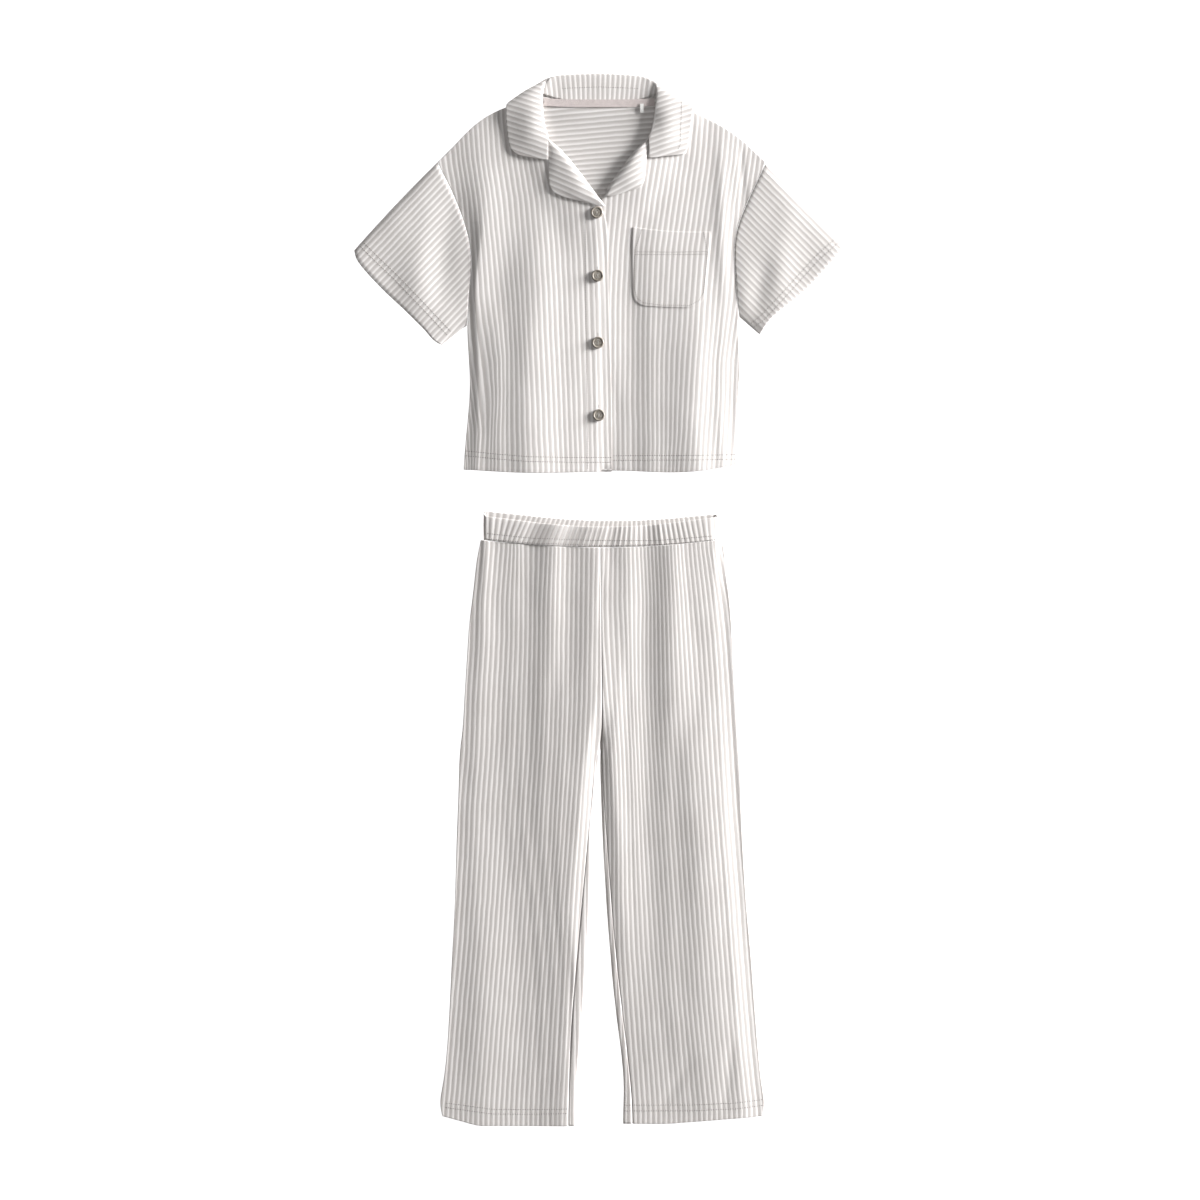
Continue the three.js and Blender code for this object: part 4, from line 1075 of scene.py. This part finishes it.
# A piece comes after the ones that it lies on.
CLOTH_PIECES = (
    ClothPiece("shirt_back", StraightGrain(90.0), (0.42, 0.50), 0.156, follows=Follows.NOTHING, levels=2),
    ClothPiece("sleeve_right", StraightGrain(46.5), (0.23, 0.30), 0.036, follows=Follows.CREASES, levels=2,
               top_only_above=2.6),
    ClothPiece("sleeve_left", StraightGrain(-45.0), (0.23, 0.28), 0.031, follows=Follows.CREASES, levels=2,
               top_only_above=2.6),
    ClothPiece("shirt_front_left", SHIRT_LEFT_GRAIN, (0.25, 0.48), 0.079, ("shirt_back",)),
    ClothPiece("shirt_front_right", SHIRT_RIGHT_GRAIN, (0.25, 0.48), 0.075, ("shirt_back",),
               pressed_onto="shirt_front_left", pressed_from=-6.0),
    ClothPiece("back_neck_facing", StraightGrain(5.0), (0.17, 0.17), 0.020, ("shirt_back",),
               follows=Follows.NOTHING),
    ClothPiece("lapel_right", StraightGrain(-24.0), (0.06, 0.09), 0.0027, ("shirt_front_right",),
               follows=Follows.CARRIER),
    ClothPiece("lapel_left", StraightGrain(28.0), (0.05, 0.08), 0.0019, ("shirt_front_left",),
               follows=Follows.CARRIER),
    ClothPiece("collar", CollarGrain(), (0.42, 0.08), 0.021, ("shirt_back",), follows=Follows.CARRIER),
    ClothPiece("chest_pocket", SHIRT_LEFT_GRAIN, (0.10, 0.11), 0.0088, ("shirt_front_left",),
               pressed_onto="shirt_front_left"),
    ClothPiece("trouser_back_right", StraightGrain(90.0), (0.22, 0.73), 0.125, follows=Follows.CARRIER,
               levels=2, top_only_above=2.6),
    ClothPiece("trouser_back_left", StraightGrain(90.0), (0.22, 0.73), 0.1255, follows=Follows.CARRIER,
               levels=2, top_only_above=2.6),
    ClothPiece("trouser_front_right", TROUSER_RIGHT_GRAIN, (0.20, 0.73), 0.117, ("trouser_back_right",)),
    ClothPiece("trouser_front_left", TROUSER_LEFT_GRAIN, (0.20, 0.73), 0.119, ("trouser_back_left",)),
    ClothPiece("waistband", StraightGrain(90.0), (0.66, 0.05), 0.0175, held=Held.GATHERED,
               follows=Follows.NOTHING, levels=2, gathers=Gathers()),
)


@dataclass(frozen=True)
class StitchRow:
    """A row of lockstitches along a line of photo points. A stitch's sizes and gap are in millimetres."""

    path: Line
    length: float = 2.5
    gap: float = 0.5
    wide: float = 0.95
    thick: float = 0.42
    lift: float = 0.08

    def places(self) -> list[tuple[Vector, Vector]]:
        """Spaces the stitches along the path.

        Returns:
            Each stitch's middle and direction in the plan.
        """
        line = [Vector((across(x), up_from(y))) for x, y in self.path]
        pitch = (self.length + self.gap) * MM
        found = []
        due = pitch / 2
        for start, end in zip(line, line[1:]):
            run = end - start
            while due < run.length:
                found.append((start + run * (due / run.length), run.normalized()))
                due += pitch
            due -= run.length
        return found

    def sew(self, bm: bmesh.types.BMesh, surface: Surface) -> None:
        """Adds the row's stitches to a mesh.

        Args:
            bm: The mesh.
            surface: What they are sewn on.
        """
        for middle, along in self.places():
            height, facing = surface.top(middle.x, middle.y)
            forward = Vector((along.x, along.y, 0.0))
            forward = (forward - facing * forward.dot(facing)).normalized()
            turn = Matrix((forward, facing.cross(forward), facing)).transposed().to_4x4()
            size = Matrix.Diagonal((*(MM / 2 * side for side in (self.length, self.wide, self.thick)), 1.0))
            place = Matrix.Translation((middle.x, middle.y, height + self.lift * MM))
            bmesh.ops.create_icosphere(bm, subdivisions=1, radius=1.0, matrix=place @ turn @ size)


@dataclass(frozen=True)
class Seam:
    """Stitch rows of one thread on one part of the garment."""

    name: str
    rows: tuple[StitchRow, ...]
    on: tuple[str, ...]

    def build(self, pieces: dict[str, bpy.types.Object], material: bpy.types.Material) -> None:
        """Sews the rows, as one piece.

        Args:
            pieces: The finished cloth, by CAD node.
            material: The thread's finish.
        """
        surface = Surface(*(pieces[key] for key in self.on))
        bm = bmesh.new()
        for row in self.rows:
            row.sew(bm, surface)
        mesh = mesh_of(bm, self.name)
        mesh.materials.append(material)
        mesh.shade_smooth()
        shown(mesh, self.name)
        log.info("%s: %d faces", self.name, len(mesh.polygons))


def put_in_order(mesh: bpy.types.Mesh) -> None:
    """Orders a mesh's points and faces by place, because a Boolean's order varies from run to run.

    Args:
        mesh: The mesh, which keeps its shape.
    """
    points = [tuple(vertex.co) for vertex in mesh.vertices]
    order = sorted(range(len(points)), key=points.__getitem__)
    ranks = {index: rank for rank, index in enumerate(order)}
    faces = []
    for polygon in mesh.polygons:
        corners = [ranks[index] for index in polygon.vertices]
        first = corners.index(min(corners))
        faces.append(corners[first:] + corners[:first])
    mesh.clear_geometry()
    mesh.from_pydata([points[index] for index in order], [], sorted(faces))
    mesh.update()


@dataclass(frozen=True)
class SewnButton:
    """A two-hole button: raised rim, ring groove and dished middle, with its thread.

    All sizes are in millimetres. strands are the thread's two places across, and bends its three parts:
    the share of the way to a hole, the height and the tilt.
    """

    node: str
    place: Point
    profile: Line = (
        (0.0, 0.25), (6.4, 0.0), (7.1, 0.35), (7.5, 1.0), (7.5, 1.75), (7.2, 2.35), (6.6, 2.65), (5.9, 2.6),
        (5.3, 2.3), (4.9, 1.95), (4.5, 1.9), (4.2, 2.05), (3.6, 2.15), (2.4, 2.0), (0.0, 1.9),
    )
    hole_radius: float = 1.05
    hole_spacing: float = 3.6
    drill_length: float = 12.0
    drill_steps: int = 20
    steps: int = 48
    merged_within: float = 0.001
    sharp_angle: float = math.radians(40)
    strands: Point = (-0.32, 0.3)
    bends: tuple[Triple, ...] = ((0.0, 2.2, 0.0), (-0.5, 2.0, 0.5), (0.5, 2.0, -0.5))
    strand_size: Triple = (0.28, 0.8, 0.28)
    rests_at: Values = (-5.0, 0.0, 5.0)

    def disc(self) -> bmesh.types.BMesh:
        """Turns the button's profile about its axis.

        Returns:
            The turned shape, standing on the origin.
        """
        bm = bmesh.new()
        points = [bm.verts.new((radius * MM, 0.0, height * MM)) for radius, height in self.profile]
        edges = [bm.edges.new(pair) for pair in zip(points, points[1:])]
        bmesh.ops.spin(bm, geom=points + edges, cent=(0.0, 0.0, 0.0), axis=(0.0, 0.0, 1.0),
                       angle=math.tau, steps=self.steps, use_merge=True)
        bmesh.ops.remove_doubles(bm, verts=bm.verts, dist=self.merged_within * MM)
        bmesh.ops.recalc_face_normals(bm, faces=bm.faces)
        return bm

    def drilled(self) -> bpy.types.Mesh:
        """Cuts the two holes.

        Returns:
            The button's mesh.
        """
        body = mesh_of(self.disc(), self.node + "_body")
        bm = bmesh.new()
        for side in (-1, 1):
            bmesh.ops.create_cone(bm, cap_ends=True, segments=self.drill_steps,
                                  radius1=self.hole_radius * MM, radius2=self.hole_radius * MM,
                                  depth=self.drill_length * MM,
                                  matrix=Matrix.Translation((0.0, side * self.hole_spacing * MM / 2, 0.0)))
        drills = mesh_of(bm, self.node + "_drills")
        blank = bpy.data.objects.new(self.node + "_blank", body)
        cutter = bpy.data.objects.new(self.node + "_cutter", drills)
        for holder in (blank, cutter):
            bpy.context.scene.collection.objects.link(holder)
        cut = blank.modifiers.new("Holes", "BOOLEAN")
        cut.operation = "DIFFERENCE"
        cut.solver = "EXACT"
        cut.object = cutter
        bpy.context.view_layer.update()
        graph = bpy.context.evaluated_depsgraph_get()
        mesh = bpy.data.meshes.new_from_object(blank.evaluated_get(graph))
        for holder in (blank, cutter):
            bpy.data.objects.remove(holder)
        put_in_order(mesh)
        return mesh

    def thread(self, height: float) -> bpy.types.Mesh:
        """Makes the thread between the holes.

        Args:
            height: Where the button's underside lies.

        Returns:
            Two parallel strands that dip into the holes.
        """
        bm = bmesh.new()
        size = Matrix.Diagonal((*(MM * side for side in self.strand_size), 1.0))
        for strand in self.strands:
            for share, z, tilt in self.bends:
                x = self.place[0] + strand
                y = self.place[1] + share * self.hole_spacing / 2
                place = Matrix.Translation((x * MM, y * MM, height + z * MM))
                turn = Matrix.Rotation(-tilt, 4, "X")
                bmesh.ops.create_icosphere(bm, subdivisions=2, radius=1.0, matrix=place @ turn @ size)
        return mesh_of(bm, self.node + "_thread")

    def build(self, surface: Surface, horn: bpy.types.Material, thread: bpy.types.Material) -> None:
        """Makes the button and its thread on the front.

        Args:
            surface: The front that it is sewn on.
            horn: The button's finish.
            thread: The thread's finish.
        """
        x, y = self.place
        rests = [surface.top((x + dx) * MM, (y + dy) * MM)[0] for dx in self.rests_at for dy in self.rests_at]
        height = max(rests) + CLOTH_GAP
        mesh = self.drilled()
        mesh.transform(Matrix.Translation((x * MM, y * MM, height)))
        mesh.materials.clear()
        mesh.materials.append(horn)
        mesh.shade_smooth()
        mesh.set_sharp_from_angle(angle=self.sharp_angle)
        button = shown(mesh, self.node + "_horn")
        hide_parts(self.node)
        strands = self.thread(height)
        strands.materials.append(thread)
        strands.shade_smooth()
        shown(strands, self.node + "_thread")
        log.info("%s at height %.1f mm", button.name, height / MM)


def offset(path: Line, distance: float) -> Line:
    """Moves a photo path sideways, to its right as it runs.

    Args:
        path: Photo points.
        distance: How far, in photo pixels.

    Returns:
        The moved path.
    """
    moved = []
    for k, point in enumerate(path):
        before = Vector(path[max(k - 1, 0)])
        after = Vector(path[min(k + 1, len(path) - 1)])
        run = (after - before).normalized()
        moved.append((point[0] - run.y * distance, point[1] + run.x * distance))
    return tuple(moved)


def twin(path: Line, apart: float) -> tuple[StitchRow, StitchRow]:
    """Makes a twin-needle row, from its first line and how many photo pixels the second lies beside it."""
    return StitchRow(path), StitchRow(offset(path, apart))


def pocket_rows(*paths: Line) -> tuple[StitchRow, ...]:
    """Makes the pocket's rows, which are finer."""
    return tuple(StitchRow(path, 2.0, 0.5, 0.75) for path in paths)


def buttonhole_ends(*places: Point) -> tuple[StitchRow, ...]:
    """Makes what shows of the buttonholes: a short bar from each photo point down to its button."""
    return tuple(StitchRow(((x, y), (x, y + 3.0)), 1.6, 0.2, 0.8) for x, y in places)


# Stitch lines, as points of the photo.
HEM_RIGHT = ((466, 451), (500, 454.5), (530, 457), (570, 457.6), (611, 457.6))
HEM_LEFT = ((613, 455.8), (650, 455.6), (700, 455.6), (735, 454.6))
CUFF_RIGHT = ((364, 243), (379, 258), (397, 275), (420, 299), (438, 318), (452, 333))
CUFF_LEFT = ((835, 239), (815, 257), (796, 278), (777, 299), (762, 315), (748, 326))
LEG_HEM_RIGHT = ((446, 1102.2), (472, 1105.6), (494, 1108.6), (529, 1108.8), (567, 1108))
LEG_HEM_LEFT = ((624, 1104.3), (690, 1104), (735, 1102), (762, 1099))
BAND_UPPER = ((487, 533.5), (531, 538), (600, 540.6), (656, 540.6), (714, 536))
BAND_LOWER = ((486, 538.5), (531, 542.8), (600, 545.6), (656, 544.6), (716, 540.5))
POCKET_BAND = ((635, 252.2), (670, 252.6), (707, 252))
POCKET_EDGE = ((635, 250), (634.6, 290), (637, 298), (643, 303), (662, 305.5), (690, 305.8), (699, 301),
               (703.5, 293), (706, 270), (707.6, 251))
POCKET_CORNERS = (((642, 229.6), (635.3, 250)), ((703.5, 232.1), (707, 250)))
COLLAR_EDGE = ((681.5, 103), (681, 120), (680, 146), (678, 150))
STAND_LINE = ((562, 89), (600, 87.5), (638, 89))
FRONT_LINE = ((585.5, 222), (586, 300), (587, 380), (588, 470))
BUTTONHOLE_TOPS = ((597.3, 203.5), (597.5, 267), (598, 333), (598.8, 405))

SEAMS = (
    Seam("hem_stitches_right", twin(HEM_RIGHT, 4.8), ("shirt_front_right",)),
    Seam("hem_stitches_left", twin(HEM_LEFT, 4.6), ("shirt_front_left",)),
    Seam("cuff_stitches_right", twin(CUFF_RIGHT, 5.0), ("sleeve_right",)),
    Seam("cuff_stitches_left", twin(CUFF_LEFT, -5.0), ("sleeve_left",)),
    Seam("collar_stitches", (StitchRow(COLLAR_EDGE, wide=0.7), StitchRow(STAND_LINE, wide=0.7)), ("collar",)),
    Seam("front_stitches", (StitchRow(FRONT_LINE, wide=0.5), *buttonhole_ends(*BUTTONHOLE_TOPS)),
         ("shirt_front_right",)),
    Seam("pocket_stitches", pocket_rows(POCKET_BAND, offset(POCKET_BAND, 2.6), POCKET_EDGE, *POCKET_CORNERS),
         ("chest_pocket",)),
    Seam("leg_stitches_right", twin(LEG_HEM_RIGHT, 4.6), ("trouser_front_right", "trouser_back_right")),
    Seam("leg_stitches_left", twin(LEG_HEM_LEFT, 5.8), ("trouser_front_left", "trouser_back_left")),
    Seam("band_stitches", (StitchRow(BAND_UPPER), StitchRow(BAND_LOWER)), ("waistband",)),
)

# Places in millimetres to the viewer's right of the middle, and towards the collar.
BUTTONS = (
    SewnButton("button_1", (-4.0, 482.5)),
    SewnButton("button_2", (-3.0, 404.0)),
    SewnButton("button_3", (-2.5, 320.5)),
    SewnButton("button_4", (-1.5, 230.0)),
)


@dataclass(frozen=True)
class SoftLight:
    """A square area light that is aimed at the set, in metres and watts."""

    name: str
    place: Triple
    side: float
    power: float

    def build(self) -> None:
        """Hangs the light."""
        data = bpy.data.lights.new(self.name, "AREA")
        data.size = self.side
        data.energy = self.power
        lamp = bpy.data.objects.new(self.name, data)
        lamp.location = self.place
        lamp.rotation_euler = (-Vector(self.place)).to_track_quat("-Z", "Y").to_euler()
        bpy.context.scene.collection.objects.link(lamp)


@dataclass(frozen=True)
class Studio:
    """The pale table, the soft lights and the camera straight above."""

    lens: float = 85.0
    sensor: float = 36.0
    sight: float = 20.0
    table_half: float = 4.0
    table_level: float = -0.2 * MM
    ambient: float = 0.2
    lights: tuple[SoftLight, ...] = (
        SoftLight("window_right", (8.32, 3.03, 1.64), 3.2, 3700.0),
        SoftLight("overhead_fill", (0.0, 0.0, 5.0), 2.0, 37.0),
    )

    def camera(self) -> None:
        """Sets up the camera over the middle of the photo."""
        data = bpy.data.cameras.new("overhead")
        data.lens = self.lens
        data.sensor_width = self.sensor
        data.clip_end = self.sight
        eye = bpy.data.objects.new("overhead", data)
        distance = self.lens / self.sensor * PHOTO_WIDTH * PIXEL
        eye.location = (0.0, up_from(PHOTO_WIDTH / 2), distance)
        bpy.context.scene.collection.objects.link(eye)
        bpy.context.scene.camera = eye

    def table(self) -> None:
        """Lays the pale table just under the set."""
        bm = bmesh.new()
        bmesh.ops.create_grid(bm, x_segments=4, y_segments=4, size=self.table_half)
        bmesh.ops.translate(bm, vec=(0.0, 0.0, self.table_level), verts=bm.verts)
        mesh = mesh_of(bm, "table")
        mesh.materials.append(PaleTable().material())
        table = bpy.data.objects.new("table", mesh)
        bpy.context.scene.collection.objects.link(table)

    def build(self) -> None:
        """Sets up everything round the object."""
        self.camera()
        self.table()
        for light in self.lights:
            light.build()
        world = bpy.data.worlds.new("studio")
        world.use_nodes = True
        background = world.node_tree.nodes["Background"]
        background.inputs["Color"].default_value = (*WHITE, 1.0)
        background.inputs["Strength"].default_value = self.ambient
        bpy.context.scene.world = world
        bpy.context.scene.view_settings.view_transform = "Standard"


def main() -> None:
    """Builds the whole scene in order."""
    logging.basicConfig(level=logging.INFO, format="%(message)s")
    Studio().build()
    shirt = StripedJersey("shirt_jersey", (0.78, 0.757, 0.745), (0.54, 0.511, 0.496), (0.65, 0.624, 0.609))
    trousers = StripedJersey("trouser_jersey")
    finishes = {SHIRT_FORM: shirt.material(), TROUSER_FORM: trousers.material()}
    pieces = {}
    for piece in CLOTH_PIECES:
        form = TROUSER_FORM if piece.node.startswith(("trouser", "waist")) else SHIRT_FORM
        pieces[piece.node] = piece.build(form, finishes[form], pieces)
    thread = PlainWeave("seam_thread", (0.24, 0.222, 0.208), THREAD_PITCH).material()
    for seam in SEAMS:
        seam.build(pieces, thread)
    horn = MarbledButton().material()
    button_thread = PlainWeave("button_thread", (0.52, 0.49, 0.45), THREAD_PITCH).material()
    front = Surface(pieces["shirt_front_right"])
    for button in BUTTONS:
        button.build(front, horn, button_thread)
    tape = PlainWeave("neck_tape", (0.585, 0.52, 0.505)).material()
    ribbon = PlainWeave("loop_ribbon", (0.86, 0.85, 0.83)).material()
    for node, finish in (("neck_tape", tape), ("neck_loop_tab", ribbon)):
        bpy.data.objects[node].material_slots[0].material = finish


if __name__ == "__main__":
    main()
